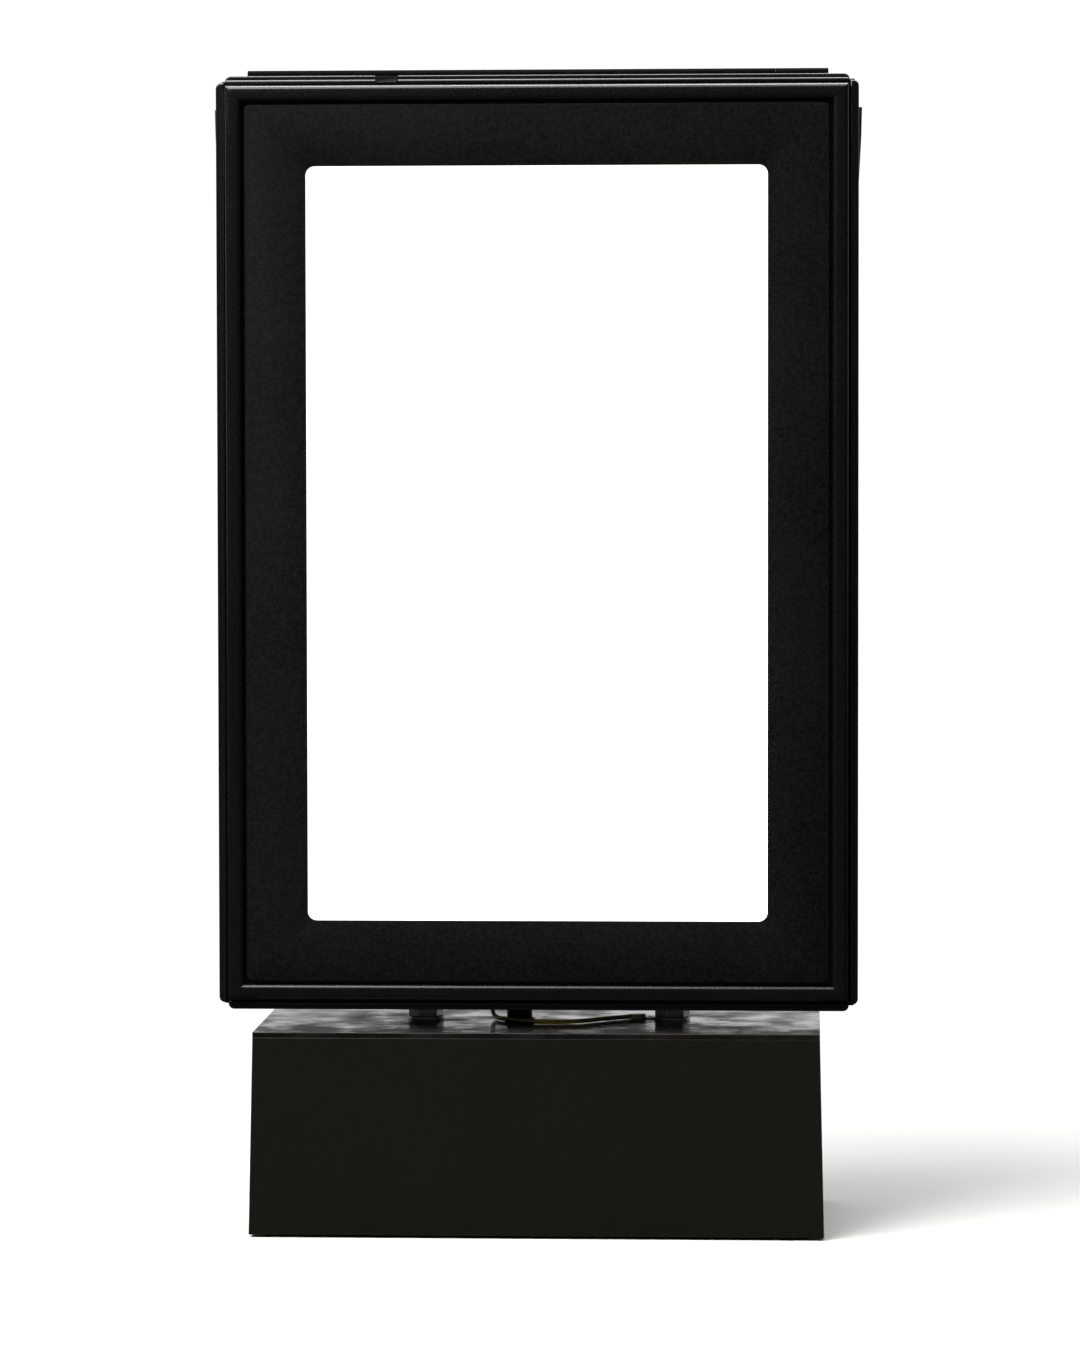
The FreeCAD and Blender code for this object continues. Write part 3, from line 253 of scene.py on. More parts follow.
# %% Leather grain: shallow cells with worn tops
def grain_group():
    group, entry, leave = new_group("grain", [("Size", 0.0013), ("Unevenness", 0.25)], ["Height", "Tone"])
    where = place(group, "TexCoord").outputs["Object"]
    scale = per_metre(group, entry.outputs["Size"])
    wander = place(group, "TexNoise", {"Vector": where, "Scale": scale, "Detail": 3.0, "Roughness": 0.55})
    bent = place(group, "VectorMath", {0: wander.outputs["Color"], "Scale": 0.0006}, operation="SCALE")
    moved = place(group, "VectorMath", {0: where, 1: bent.outputs[0]}, operation="ADD")
    cells = place(group, "TexVoronoi", {"Vector": moved.outputs[0], "Scale": scale}, feature="SMOOTH_F1")
    broad = place(group, "TexNoise", {"Vector": where, "Scale": 14.0, "Detail": 4.0})
    soft = ramped(group, broad.outputs["Fac"], 0.3, 0.7)
    speck = ramped(group, wander.outputs["Fac"], 0.36, 0.64)
    fine = place(group, "Math", {0: cells.outputs["Distance"], 1: speck}, operation="MULTIPLY")
    parts = {0: entry.outputs["Unevenness"], 2: speck, 3: soft}
    tone = place(group, "Mix", parts, data_type="FLOAT")
    group.links.new(fine.outputs[0], leave.inputs["Height"])
    group.links.new(tone.outputs[0], leave.inputs["Tone"])
    return group


GRAIN = grain_group()
print(GRAIN.name, len(GRAIN.nodes), "nodes")


# %% Fine scratches: long thin marks in two directions
def scratch_group():
    group, entry, leave = new_group("scratches", [("Size", 0.004), ("Cover", 0.3)], ["Mask"])
    where = place(group, "TexCoord").outputs["Object"]
    scale = per_metre(group, entry.outputs["Size"])
    marks = []
    for turn, stretch in ((0.5, (1.0, 1.0, 0.04)), (-0.9, (0.05, 1.0, 1.0))):
        turned = place(group, "Mapping", {"Vector": where, "Rotation": (0.0, turn, turn), "Scale": stretch})
        lines = place(group, "TexNoise", {"Vector": turned.outputs[0], "Scale": scale, "Detail": 2.0})
        marks.append(ramped(group, lines.outputs["Fac"], 0.66, 0.72))
    both = place(group, "Math", {0: marks[0], 1: marks[1]}, operation="MAXIMUM")
    some = place(group, "Math", {0: both.outputs[0], 1: entry.outputs["Cover"]}, operation="MULTIPLY")
    group.links.new(some.outputs[0], leave.inputs["Mask"])
    return group


SCRATCHES = scratch_group()
print(SCRATCHES.name, len(SCRATCHES.nodes), "nodes")


# %% Dust: specks and a thin film on what faces up
def dust_group():
    group, entry, leave = new_group("dust", [("Cover", 0.3), ("Size", 0.0008)], ["Mask"])
    where = place(group, "TexCoord").outputs["Object"]
    facing = place(group, "SeparateXYZ", {0: place(group, "NewGeometry").outputs["Normal"]})
    up = ramped(group, facing.outputs["Z"], 0.35, 1.0, 0.12, 1.0)
    scale = per_metre(group, entry.outputs["Size"])
    specks = place(group, "TexNoise", {"Vector": where, "Scale": scale, "Detail": 1.0})
    patches = place(group, "TexNoise", {"Vector": where, "Scale": 22.0, "Detail": 5.0})
    sharp = ramped(group, specks.outputs["Fac"], 0.62, 0.74)
    film = ramped(group, patches.outputs["Fac"], 0.42, 0.75, 0.05, 0.5)
    either = place(group, "Math", {0: sharp, 1: film}, operation="MAXIMUM")
    laid = place(group, "Math", {0: either.outputs[0], 1: up}, operation="MULTIPLY")
    some = place(group, "Math", {0: laid.outputs[0], 1: entry.outputs["Cover"]}, operation="MULTIPLY")
    group.links.new(some.outputs[0], leave.inputs["Mask"])
    return group


DUST = dust_group()
print(DUST.name, len(DUST.nodes), "nodes")


# %% Rubbed edges: where a rounded copy of the surface leans away from the surface itself
def edge_group():
    group, entry, leave = new_group("rubbed_edges", [("Width", 0.0006), ("Amount", 0.5)], ["Mask"])
    where = place(group, "TexCoord").outputs["Object"]
    rounded = place(group, "Bevel", {"Radius": entry.outputs["Width"]}, samples=4)
    true_normal = place(group, "NewGeometry").outputs["Normal"]
    lean = place(group, "VectorMath", {0: rounded.outputs[0], 1: true_normal}, operation="DOT_PRODUCT")
    edge = ramped(group, lean.outputs["Value"], 0.99, 0.86)
    broken = place(group, "TexNoise", {"Vector": where, "Scale": 260.0, "Detail": 4.0})
    patchy = ramped(group, broken.outputs["Fac"], 0.42, 0.6)
    rubbed = place(group, "Math", {0: edge, 1: patchy}, operation="MULTIPLY")
    some = place(group, "Math", {0: rubbed.outputs[0], 1: entry.outputs["Amount"]}, operation="MULTIPLY")
    group.links.new(some.outputs[0], leave.inputs["Mask"])
    return group


EDGES = edge_group()
print(EDGES.name, len(EDGES.nodes), "nodes")


# %% [markdown]
# ## Finishes
#
# Most of the unit's finishes are the same few things in different amounts: a base colour with slow variation, a
# grain that is felt as bumps, fine scratches that change the gloss, dust, and rubbed edges. One maker builds
# that graph, and each finish calls it with its own values. Values that are even all over the surface are set
# on the shader's own sockets.

# %% The maker of finishes
MATERIALS = {}


def finish(
    name,
    dark,
    light,
    rough,
    grain=0.001,
    depth=0.00002,
    bump=0.4,
    metallic=0.0,
    gloss=0.5,
    coat=0.0,
    scratched=0.2,
    dusty=0.2,
    rubbed=0.0,
    rubbed_colour=(0.3, 0.3, 0.3, 1.0),
):
    """A surface between two colours, with rough = (smoothest, roughest)."""
    material = bpy.data.materials.new(name)
    material.use_nodes = True
    tree = material.node_tree
    tree.nodes.clear()
    grains = use_group(tree, GRAIN, size=grain)
    marks = use_group(tree, SCRATCHES, cover=scratched)
    dust = use_group(tree, DUST, cover=dusty)
    colour = mixed(tree, grains.outputs["Tone"], dark, light)
    if rubbed > 0:
        edges = use_group(tree, EDGES, amount=rubbed)
        colour = mixed(tree, edges.outputs["Mask"], colour, rubbed_colour)
    colour = mixed(tree, dust.outputs["Mask"], colour, (0.2, 0.19, 0.17, 1.0))
    evenly = ramped(tree, grains.outputs["Tone"], 0.0, 1.0, rough[0], rough[1])
    scuffed = place(tree, "Math", {0: marks.outputs["Mask"], 1: 0.25, 2: evenly}, operation="MULTIPLY_ADD")
    dusted = {0: dust.outputs["Mask"], 1: 0.4, 2: scuffed.outputs[0]}
    dulled = place(tree, "Math", dusted, operation="MULTIPLY_ADD")
    relief = place(tree, "Bump", {"Strength": bump, "Distance": depth, "Height": grains.outputs["Height"]})
    shader = place(
        tree,
        "BsdfPrincipled",
        {
            "Base Color": colour,
            "Roughness": dulled.outputs[0],
            "Metallic": metallic,
            "Specular IOR Level": gloss,
            "Coat Weight": coat,
            "Coat Roughness": 0.06,
            "Normal": relief.outputs[0],
        },
    )
    place(tree, "OutputMaterial", {"Surface": shader.outputs[0]})
    MATERIALS[name] = material
    return material


print("finish maker ready")

# %% Gloss blacks: the plinth's faces and plate, the pushed-on trims
finish("gloss_black_shell", (0.0087, 0.0092, 0.0058, 1), (0.0118, 0.0124, 0.0082, 1), (0.07, 0.14), grain=0.004,
       depth=0.00004, bump=0.08, gloss=0.5, scratched=0.15, dusty=0.06)
finish("gloss_black_plate", (0.005, 0.0046, 0.0036, 1), (0.009, 0.008, 0.006, 1), (0.12, 0.5), grain=0.024,
       depth=0.0005, bump=0.9, gloss=0.42,
       scratched=0.2, dusty=0.05, rubbed=0.2, rubbed_colour=grey(0.02))
finish("trim_gloss", grey(0.0045), grey(0.0068), (0.14, 0.22), grain=0.002, depth=0.00002, bump=0.1,
       scratched=0.25, dusty=0.04)
finish("rocker_plastic", grey(0.006), grey(0.012), (0.2, 0.3), grain=0.0009, bump=0.2)
print(len(MATERIALS), "finishes")

# %% Grained and moulded blacks: the panel round the window, the cover, the bush
finish("mask_grain", (0.0018, 0.0018, 0.0016, 1), (0.01, 0.01, 0.0092, 1), (0.55, 0.7), grain=0.0016,
       depth=0.0002, bump=0.8, gloss=0.08, scratched=0.05, dusty=0.03)
finish("cover_plastic", grey(0.007), grey(0.014), (0.4, 0.56), grain=0.0009, depth=0.00006, bump=0.5, dusty=0.2)
finish("inlet_plastic", grey(0.008), grey(0.014), (0.35, 0.5), grain=0.0007, bump=0.3)
finish("bush_plastic", grey(0.006), grey(0.012), (0.3, 0.45), grain=0.0007, bump=0.3, dusty=0.1)
finish("terminal_plastic", (0.66, 0.65, 0.58, 1), (0.78, 0.77, 0.71, 1), (0.35, 0.5), grain=0.001, bump=0.2)
finish("driver_case", (0.56, 0.57, 0.6, 1), (0.7, 0.71, 0.74, 1), (0.38, 0.5), grain=0.0011, bump=0.3)
print(len(MATERIALS), "finishes")

# %% Painted metals: the case, the door pan, the mitred frame, the hinge
finish("case_paint", grey(0.006), grey(0.011), (0.32, 0.46), grain=0.0008, depth=0.00004, bump=0.35, dusty=0.15,
       rubbed=0.25, rubbed_colour=grey(0.2))
finish("frame_paint", (0.0024, 0.0024, 0.0022, 1), (0.0042, 0.0042, 0.0038, 1), (0.2, 0.3), grain=0.0008,
       depth=0.00002, bump=0.15, dusty=0.03, scratched=0.15)
finish("hinge_paint", grey(0.0012), grey(0.0025), (0.5, 0.65), grain=0.0007, bump=0.2, gloss=0.01, dusty=0.04)
finish("black_screw", grey(0.008), grey(0.016), (0.3, 0.42), grain=0.0005, bump=0.2, metallic=0.6, rubbed=0.4)
print(len(MATERIALS), "finishes")

# %% Rubbers
finish("seal_rubber", (0.016, 0.014, 0.02, 1), (0.032, 0.029, 0.038, 1), (0.55, 0.75), grain=0.0006,
       depth=0.00003, bump=0.35, gloss=0.25, dusty=0.25)
finish("foot_rubber", grey(0.01), grey(0.018), (0.6, 0.8), grain=0.0008, bump=0.4, gloss=0.3, dusty=0.4)
finish("plug_rubber", grey(0.0035), grey(0.007), (0.4, 0.55), grain=0.0006, bump=0.3, gloss=0.3, dusty=0.05)
finish("lead_sheath", grey(0.005), grey(0.01), (0.3, 0.42), grain=0.0012, depth=0.00003, bump=0.2, dusty=0.1)
print(len(MATERIALS), "finishes")

# %% Bare metals
ZINC = (0.45, 0.47, 0.5, 1)
ZINC_LIGHT = (0.66, 0.67, 0.7, 1)
finish("zinc_sheet", ZINC, ZINC_LIGHT, (0.25, 0.42), grain=0.006, bump=0.1, metallic=1, scratched=0.4)
finish("zinc_screw", ZINC, ZINC_LIGHT, (0.24, 0.4), grain=0.001, bump=0.25, metallic=0.6, scratched=0.5)
finish("hinge_steel", grey(0.45), grey(0.6), (0.2, 0.34), grain=0.0008, bump=0.15, metallic=1)
finish("clip_steel", grey(0.5), grey(0.66), (0.22, 0.36), grain=0.001, bump=0.1, metallic=1)
finish("catch_steel", grey(0.4), grey(0.56), (0.25, 0.38), grain=0.001, bump=0.15, metallic=1)
finish("rivet_aluminium", grey(0.6), grey(0.75), (0.25, 0.36), grain=0.0006, bump=0.15, metallic=1)
finish("key_aluminium", grey(0.5), grey(0.66), (0.4, 0.55), grain=0.001, bump=0.4, metallic=1)
finish("supply_case", (0.55, 0.55, 0.57, 1), (0.68, 0.68, 0.7, 1), (0.3, 0.44), grain=0.0012, metallic=1)
finish("ballast_steel", (0.16, 0.15, 0.15, 1), (0.3, 0.28, 0.27, 1), (0.45, 0.65), grain=0.005, depth=0.0001,
       bump=0.5, metallic=1, scratched=0.5)
finish("tinned_brass", (0.55, 0.52, 0.44, 1), (0.74, 0.71, 0.62, 1), (0.2, 0.34), grain=0.0006, metallic=1)
print(len(MATERIALS), "finishes")

# %% Whites behind the window, and the boards
finish("reflector_white", (0.82, 0.82, 0.81, 1), (0.92, 0.92, 0.91, 1), (0.35, 0.5), grain=0.002, bump=0.15,
       scratched=0.05, dusty=0.1)
finish("board_white", (0.72, 0.75, 0.73, 1), (0.86, 0.88, 0.86, 1), (0.3, 0.42), grain=0.003, bump=0.15,
       dusty=0.1)
finish("lamp_phosphor", (0.8, 0.62, 0.12, 1), (0.95, 0.8, 0.25, 1), (0.3, 0.45), grain=0.0006, bump=0.3,
       dusty=0.0)
print(len(MATERIALS), "finishes")

# %% [markdown]
# ## Finishes with a pattern of their own
#
# Some surfaces need more than grain. The opal sheet is lit from behind, the earth lead is yellow with a green
# stripe, the cleats are sawn beech with growth rings, and the control board has copper tracks under its mask.

# %% The lit opal sheet
def opal_sheet():
    """Even white light, with faint warm and cool clouds in it."""
    material = bpy.data.materials.new("opal_sheet")
    material.use_nodes = True
    tree = material.node_tree
    tree.nodes.clear()
    where = place(tree, "TexCoord").outputs["Object"]
    clouds = place(tree, "TexNoise", {"Vector": where, "Scale": 9.0, "Detail": 2.0})
    fine = place(tree, "TexNoise", {"Vector": where, "Scale": 900.0, "Detail": 1.0})
    light = mixed(tree, clouds.outputs["Fac"], (1.0, 0.985, 0.965, 1), (0.985, 0.99, 1.0, 1))
    relief = place(tree, "Bump", {"Strength": 0.1, "Distance": 0.00002, "Height": fine.outputs["Fac"]})
    shader = place(
        tree,
        "BsdfPrincipled",
        {
            "Base Color": grey(0.86),
            "Roughness": ramped(tree, fine.outputs["Fac"], 0.3, 0.7, 0.28, 0.4),
            "Emission Color": light,
            "Emission Strength": 1.5,
            "Normal": relief.outputs[0],
        },
    )
    place(tree, "OutputMaterial", {"Surface": shader.outputs[0]})
    MATERIALS["opal_sheet"] = material


opal_sheet()
print("opal sheet ready")


# %% Pattern helper: a plain shader from a colour, a roughness and a height
def patterned(tree, colour, roughness, height, depth, metallic=0.0):
    relief = place(tree, "Bump", {"Strength": 0.5, "Distance": depth, "Height": height})
    values = {"Base Color": colour, "Roughness": roughness, "Metallic": metallic, "Normal": relief.outputs[0]}
    shader = place(tree, "BsdfPrincipled", values)
    place(tree, "OutputMaterial", {"Surface": shader.outputs[0]})


def blank(name):
    material = bpy.data.materials.new(name)
    material.use_nodes = True
    material.node_tree.nodes.clear()
    MATERIALS[name] = material
    return material.node_tree


# %% The earth lead: yellow, with a green stripe that winds slowly round it
def earth_sheath():
    tree = blank("earth_sheath")
    where = place(tree, "TexCoord").outputs["Object"]
    facing = place(tree, "SeparateXYZ", {0: place(tree, "NewGeometry").outputs["Normal"]})
    along = place(tree, "SeparateXYZ", {0: where})
    turn = place(tree, "Math", {0: along.outputs["X"], 1: 130.0}, operation="MULTIPLY")
    swing = place(tree, "Math", {0: turn.outputs[0]}, operation="SINE")
    leaning = {0: swing.outputs[0], 1: 0.45, 2: facing.outputs["Z"]}
    lean = place(tree, "Math", leaning, operation="MULTIPLY_ADD")
    stripe = ramped(tree, lean.outputs[0], -0.3, -0.16)
    fine = place(tree, "TexNoise", {"Vector": where, "Scale": 700.0, "Detail": 3.0})
    green = mixed(tree, fine.outputs["Fac"], (0.01, 0.12, 0.02, 1), (0.02, 0.2, 0.035, 1))
    yellow = mixed(tree, fine.outputs["Fac"], (0.86, 0.7, 0.015, 1), (1.0, 0.86, 0.03, 1))
    colour = mixed(tree, stripe, green, yellow)
    patterned(tree, colour, ramped(tree, fine.outputs["Fac"], 0.3, 0.7, 0.3, 0.45),
              fine.outputs["Fac"], 0.00003)


earth_sheath()
print("earth lead ready")


# %% Sawn beech for the cleats
def cleat_wood():
    tree = blank("cleat_wood")
    where = place(tree, "TexCoord").outputs["Object"]
    stretched = place(tree, "Mapping", {"Vector": where, "Scale": (1.0, 1.0, 0.12)})
    waves = {"Vector": stretched.outputs[0], "Scale": 90.0, "Distortion": 3.0, "Detail": 3.0}
    rings = place(tree, "TexWave", waves)
    fibres = place(tree, "TexNoise", {"Vector": stretched.outputs[0], "Scale": 1400.0, "Detail": 4.0})
    body = mixed(tree, rings.outputs["Fac"], (0.46, 0.29, 0.15, 1), (0.66, 0.46, 0.28, 1))
    colour = mixed(tree, ramped(tree, fibres.outputs["Fac"], 0.55, 0.75, 0.0, 0.6), body, (0.3, 0.17, 0.08, 1))
    patterned(tree, colour, ramped(tree, fibres.outputs["Fac"], 0.3, 0.7, 0.5, 0.7),
              fibres.outputs["Fac"], 0.0002)


cleat_wood()
print("cleat wood ready")


# %% Green board with tracks under its mask
def board_green():
    tree = blank("board_green")
    where = place(tree, "TexCoord").outputs["Object"]
    steps = place(tree, "TexVoronoi", {"Vector": where, "Scale": 210.0, "Randomness": 0.55}, distance="MANHATTAN",
                  feature="DISTANCE_TO_EDGE")
    tracks = ramped(tree, steps.outputs["Distance"], 0.06, 0.09)
    fine = place(tree, "TexNoise", {"Vector": where, "Scale": 800.0, "Detail": 2.0})
    mask = mixed(tree, fine.outputs["Fac"], (0.006, 0.07, 0.03, 1), (0.012, 0.1, 0.045, 1))
    colour = mixed(tree, tracks, (0.03, 0.2, 0.09, 1), mask)
    patterned(tree, colour, ramped(tree, fine.outputs["Fac"], 0.3, 0.7, 0.22, 0.34), tracks, 0.00004)


board_green()
print(len(MATERIALS), "finishes in all")


# %% [markdown]
# ## Modelling helpers
#
# Everything below is modelled as it would be by hand: a primitive is added, opened in edit mode, and the parts
# to change are selected by where they are. An operator works on all that is selected, so each helper clears the
# selection before it starts.

# %% Selecting and adding
def only(piece):
    if bpy.context.object and bpy.context.object.mode != "OBJECT":
        bpy.ops.object.mode_set(mode="OBJECT")
    bpy.ops.object.select_all(action="DESELECT")
    piece.select_set(True)
    bpy.context.view_layer.objects.active = piece


def start(kind, name, **where):
    """Adds one primitive with nothing else selected, and moves its place and size into its mesh."""
    bpy.ops.object.select_all(action="DESELECT")
    getattr(bpy.ops.mesh, f"primitive_{kind}_add")(**where)
    piece = bpy.context.object
    piece.name = name
    piece.data.name = name
    bpy.ops.object.transform_apply(location=True, rotation=True, scale=True)
    return piece


def block(name, low, high):
    low = Vector(low)
    high = Vector(high)
    return start("cube", name, size=1, location=(low + high) / 2, scale=high - low)


def pick(piece, what, test):
    """In edit mode, selects only the faces or edges whose middle and direction pass the test."""
    only(piece)
    bpy.ops.object.mode_set(mode="EDIT")
    bpy.ops.mesh.select_mode(type=what)
    bpy.ops.mesh.select_all(action="DESELECT")
    mesh = bmesh.from_edit_mesh(piece.data)
    mesh.normal_update()
    if what == "FACE":
        chosen = [face for face in mesh.faces if test(face.calc_center_median(), face.normal)]
    else:
        chosen = [edge for edge in mesh.edges if test(*(corner.co for corner in edge.verts))]
    for item in chosen:
        item.select_set(True)
    mesh.select_flush_mode()
    bmesh.update_edit_mesh(piece.data)
    return len(chosen)


def leave():
    bpy.ops.object.mode_set(mode="OBJECT")


def near(first, second, slack=0.00002):
    return abs(first - second) < slack


print("modelling helpers ready")


# %% Modifiers, smoothing and handing over
def apply_modifier(piece, kind, **settings):
    only(piece)
    modifier = piece.modifiers.new(kind.lower(), kind)
    for key, setting in settings.items():
        setattr(modifier, key, setting)
    bpy.ops.object.modifier_apply(modifier=modifier.name)


def ease(piece, width, segments=2, degrees=50):
    """Rounds every edge sharper than the angle."""
    apply_modifier(
        piece, "BEVEL", width=width, segments=segments, limit_method="ANGLE", angle_limit=math.radians(degrees)
    )


def join(pieces):
    bpy.ops.object.select_all(action="DESELECT")
    for piece in pieces:
        piece.select_set(True)
    bpy.context.view_layer.objects.active = pieces[0]
    bpy.ops.object.join()
    return pieces[0]


def copies(piece, places):
    """The piece again at each offset, each with its own mesh, all joined into it."""
    made = []
    for offset in places:
        again = piece.copy()
        again.data = piece.data.copy()
        again.data.transform(Matrix.Translation(offset))
        bpy.context.scene.collection.objects.link(again)
        made.append(again)
    return join([piece] + made)


def hand_over(piece, *nodes, smooth=35):
    """Smooths the piece, gives it its nodes' finish, and lets it stand for them on their body."""
    only(piece)
    bpy.ops.object.shade_smooth_by_angle(angle=math.radians(smooth))
    slot = SLOT_OF[nodes[0]]
    piece.data.materials.clear()
    piece.data.materials.append(MATERIALS[slot])
    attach(piece, BODY_OF[nodes[0]])
    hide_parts(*nodes)
    print(piece.name, len(piece.data.polygons), "faces")
    return piece


def softened(node, width_mm=0.4, segments=2):
    """A merged copy of a CAD node with its sharp edges eased, standing for that node."""
    source = frame["nodes"][node]
    piece = source.copy()
    piece.data = source.data.copy()
    piece.parent = None
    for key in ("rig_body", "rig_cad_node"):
        if key in piece:
            del piece[key]
    piece.name = node + "_eased"
    piece.data.name = piece.name
    bpy.context.scene.collection.objects.link(piece)
    only(piece)
    bpy.ops.object.mode_set(mode="EDIT")
    bpy.ops.mesh.select_all(action="SELECT")
    bpy.ops.mesh.remove_doubles(threshold=0.000002)
    bpy.ops.mesh.dissolve_limited(angle_limit=math.radians(0.6))
    leave()
    if width_mm > 0:
        apply_modifier(piece, "BEVEL", width=width_mm * MM, segments=segments, limit_method="ANGLE",
                       angle_limit=math.radians(40), use_clamp_overlap=True)
    hand_over(piece, node)
    # The large flat faces decide the normals at their corners, so that they shade flat up to the eased edge.
    apply_modifier(piece, "WEIGHTED_NORMAL", mode="FACE_AREA", weight=100, keep_sharp=True)
    return piece


print("hand-over helpers ready")


# %% [markdown]
# ## The pushed-on trims
#
# Four gloss trims are pushed over the edges of the door's folded tray. Each is a straight strip whose outline is
# rounded where it meets the corner, with a round lip in front of its inner part, so that light draws a faint
# line along the bar and a bright one along the lip. A cube with two bevels gives each of the two: first the
# corners of its outline, then its front rim.

# %% The trims
TRIM_CORNER = 3.2 * MM
TRIM_ROUND = 0.8 * MM
LIP_STEP = 2.2 * MM
LIP_DEEP = 1.4 * MM
LIP_ROUND = 1.3 * MM
OUTLINE_SLACK = LIP_STEP + 0.1 * MM
BESIDE_PLUG = 165 * MM
OUTER_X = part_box("edge_trim_right")[1].x
OUTER_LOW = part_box("edge_trim_bottom")[0].z
OUTER_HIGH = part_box("edge_trim_top")[1].z


def on_outline(point):
    """True at the outer corners of the bars and their lips, and false beside the plug."""
    across = OUTER_X - abs(point.x) < OUTLINE_SLACK
    level = point.z - OUTER_LOW < OUTLINE_SLACK or OUTER_HIGH - point.z < OUTLINE_SLACK
    return abs(point.x) > BESIDE_PLUG and (level or across)


def bar(name, low, high, corner, rounding):
    piece = block(name, low, high)
    pick(piece, "EDGE", lambda a, b: not near(a.y, b.y) and on_outline(a))
    bpy.ops.mesh.bevel(offset=corner, segments=6, affect="EDGES", clamp_overlap=True)
    front = low[1]
    pick(
        piece,
        "EDGE",
        lambda a, b: near(a.y, front) and near(b.y, front) and (not near(a.x, b.x) or abs(a.x) > BESIDE_PLUG),
    )
    bpy.ops.mesh.bevel(offset=rounding, segments=6, affect="EDGES", clamp_overlap=False)
    leave()
    return piece


def strip(name, low, high, outward):
    """A bar, with a rounder lip in front of its inner part."""
    lip_low = Vector([edge - LIP_STEP * min(way, 0) for edge, way in zip(low, outward)])
    lip_high = Vector([edge - LIP_STEP * max(way, 0) for edge, way in zip(high, outward)])
    lip_high.y = low[1] + LIP_DEEP + LIP_ROUND
    body = bar(name, (low[0], low[1] + LIP_DEEP, low[2]), high, TRIM_CORNER, TRIM_ROUND)
    return join([body, bar(name + "_lip", lip_low, lip_high, LIP_ROUND, LIP_ROUND)])


OUTWARD = {"left": (-1, 0, 0), "right": (1, 0, 0), "bottom": (0, 0, -1), "top": (0, 0, 1)}
for side in ("left", "right", "bottom"):
    low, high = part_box("edge_trim_" + side)
    hand_over(strip("edge_trim_" + side + "_strip", low, high, OUTWARD[side]), "edge_trim_" + side)


# %% The top trim: two lengths with the plug's slot between them, on a backing piece
trim_low, trim_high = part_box("edge_trim_top")
low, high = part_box("top_plug")
SLOT_LEFT = low.x - 0.1 * MM
SLOT_RIGHT = high.x + 0.1 * MM
top_parts = [
    strip("edge_trim_top_strip", trim_low, (SLOT_LEFT, trim_high.y, trim_high.z), OUTWARD["top"]),
    strip("top_right_length", (SLOT_RIGHT, trim_low.y, trim_low.z), trim_high, OUTWARD["top"]),
    block("top_backing", (SLOT_LEFT, high.y + 0.1 * MM, trim_low.z), (SLOT_RIGHT, trim_high.y, trim_high.z)),
]
hand_over(join(top_parts), "edge_trim_top")

# %% The plug
plug = block("top_plug_cap", low, high)
pick(plug, "EDGE", lambda a, b: not near(a.y, b.y))
bpy.ops.mesh.bevel(offset=0.0015, segments=5, affect="EDGES")
pick(plug, "FACE", lambda middle, normal: normal.y < -0.9)
bpy.ops.mesh.inset(thickness=0.0005)
bpy.ops.transform.translate(value=(0, 0.0002, 0))
leave()
ease(plug, 0.2 * MM, degrees=40)
hand_over(plug, "top_plug")


# %% [markdown]
# ## The mitred frame, the textured panel and the opal sheet
#
# The frame's four sides are extruded profiles cut at 45 degrees. Each is a long cube whose ends are cut with
# bisect, and whose front edges are rounded afterwards, so that the mitre stays a fine line. The ledge behind the
# panel is pulled out of the same cube.

# %% The frame's sides
FRAME_OUTER = {
    "x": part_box("frame_right")[1].x,
    "low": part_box("frame_bottom")[0].z,
    "high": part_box("frame_top")[1].z,
}
PANEL_LOW, PANEL_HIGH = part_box("mask_panel")
BEAD = 8.8 * MM
MITRE_GAP = 0.08 * MM
FRAME_ROUND = 2.6 * MM


def frame_side(node):
    low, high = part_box(node)
    across = "x" if node in ("frame_left", "frame_right") else "z"
    outward = 1 if node in ("frame_right", "frame_top") else -1
    outer = getattr(high if outward > 0 else low, across)
    inner = outer - outward * BEAD
    bead_low = Vector(low)
    bead_high = Vector(high)
    setattr(bead_low, across, min(outer, inner))
    setattr(bead_high, across, max(outer, inner))
    piece = block(node + "_bar", bead_low, bead_high)
    axis = Vector((1, 0, 0)) if across == "x" else Vector((0, 0, 1))
    # The ledge: the inner face is cut at the ledge's two levels, and the strip between them pulled inwards.
    ledge_front = PANEL_HIGH.y + 0.0028
    for level in (ledge_front, ledge_front + 0.002):
        pick(piece, "FACE", lambda middle, normal: True)
        bpy.ops.mesh.bisect(plane_co=(0, level, 0), plane_no=(0, 1, 0))
    pick(
        piece,
        "FACE",
        lambda middle, normal: normal.dot(axis) * outward < -0.9 and near(middle.y, ledge_front + 0.001, 0.0002),
    )
    bpy.ops.mesh.extrude_region_move(TRANSFORM_OT_translate={"value": -outward * axis * 0.0093})
    # Both ends are cut at 45 degrees through the outer corners.
    for end in (-1, 1):
        along = Vector((0, 0, end)) if across == "x" else Vector((end, 0, 0))
        corner_z = FRAME_OUTER["high"] if (end if across == "x" else outward) > 0 else FRAME_OUTER["low"]
        corner_x = FRAME_OUTER["x"] * (outward if across == "x" else end)
        plane = (along - outward * axis).normalized()
        pick(piece, "FACE", lambda middle, normal: True)
        corner = Vector((corner_x, 0, corner_z)) - along * MITRE_GAP
        bpy.ops.mesh.bisect(plane_co=corner, plane_no=plane, clear_outer=True, use_fill=True)
    leave()
    front = low.y
    pick(piece, "EDGE", lambda a, b: near(a.y, front) and near(b.y, front) and abs((b - a).dot(axis)) < 0.001)
    bpy.ops.mesh.bevel(offset=FRAME_ROUND, segments=8, affect="EDGES", clamp_overlap=True)
    leave()
    return piece


for side in ("top", "bottom", "left", "right"):
    hand_over(frame_side("frame_" + side), "frame_" + side)


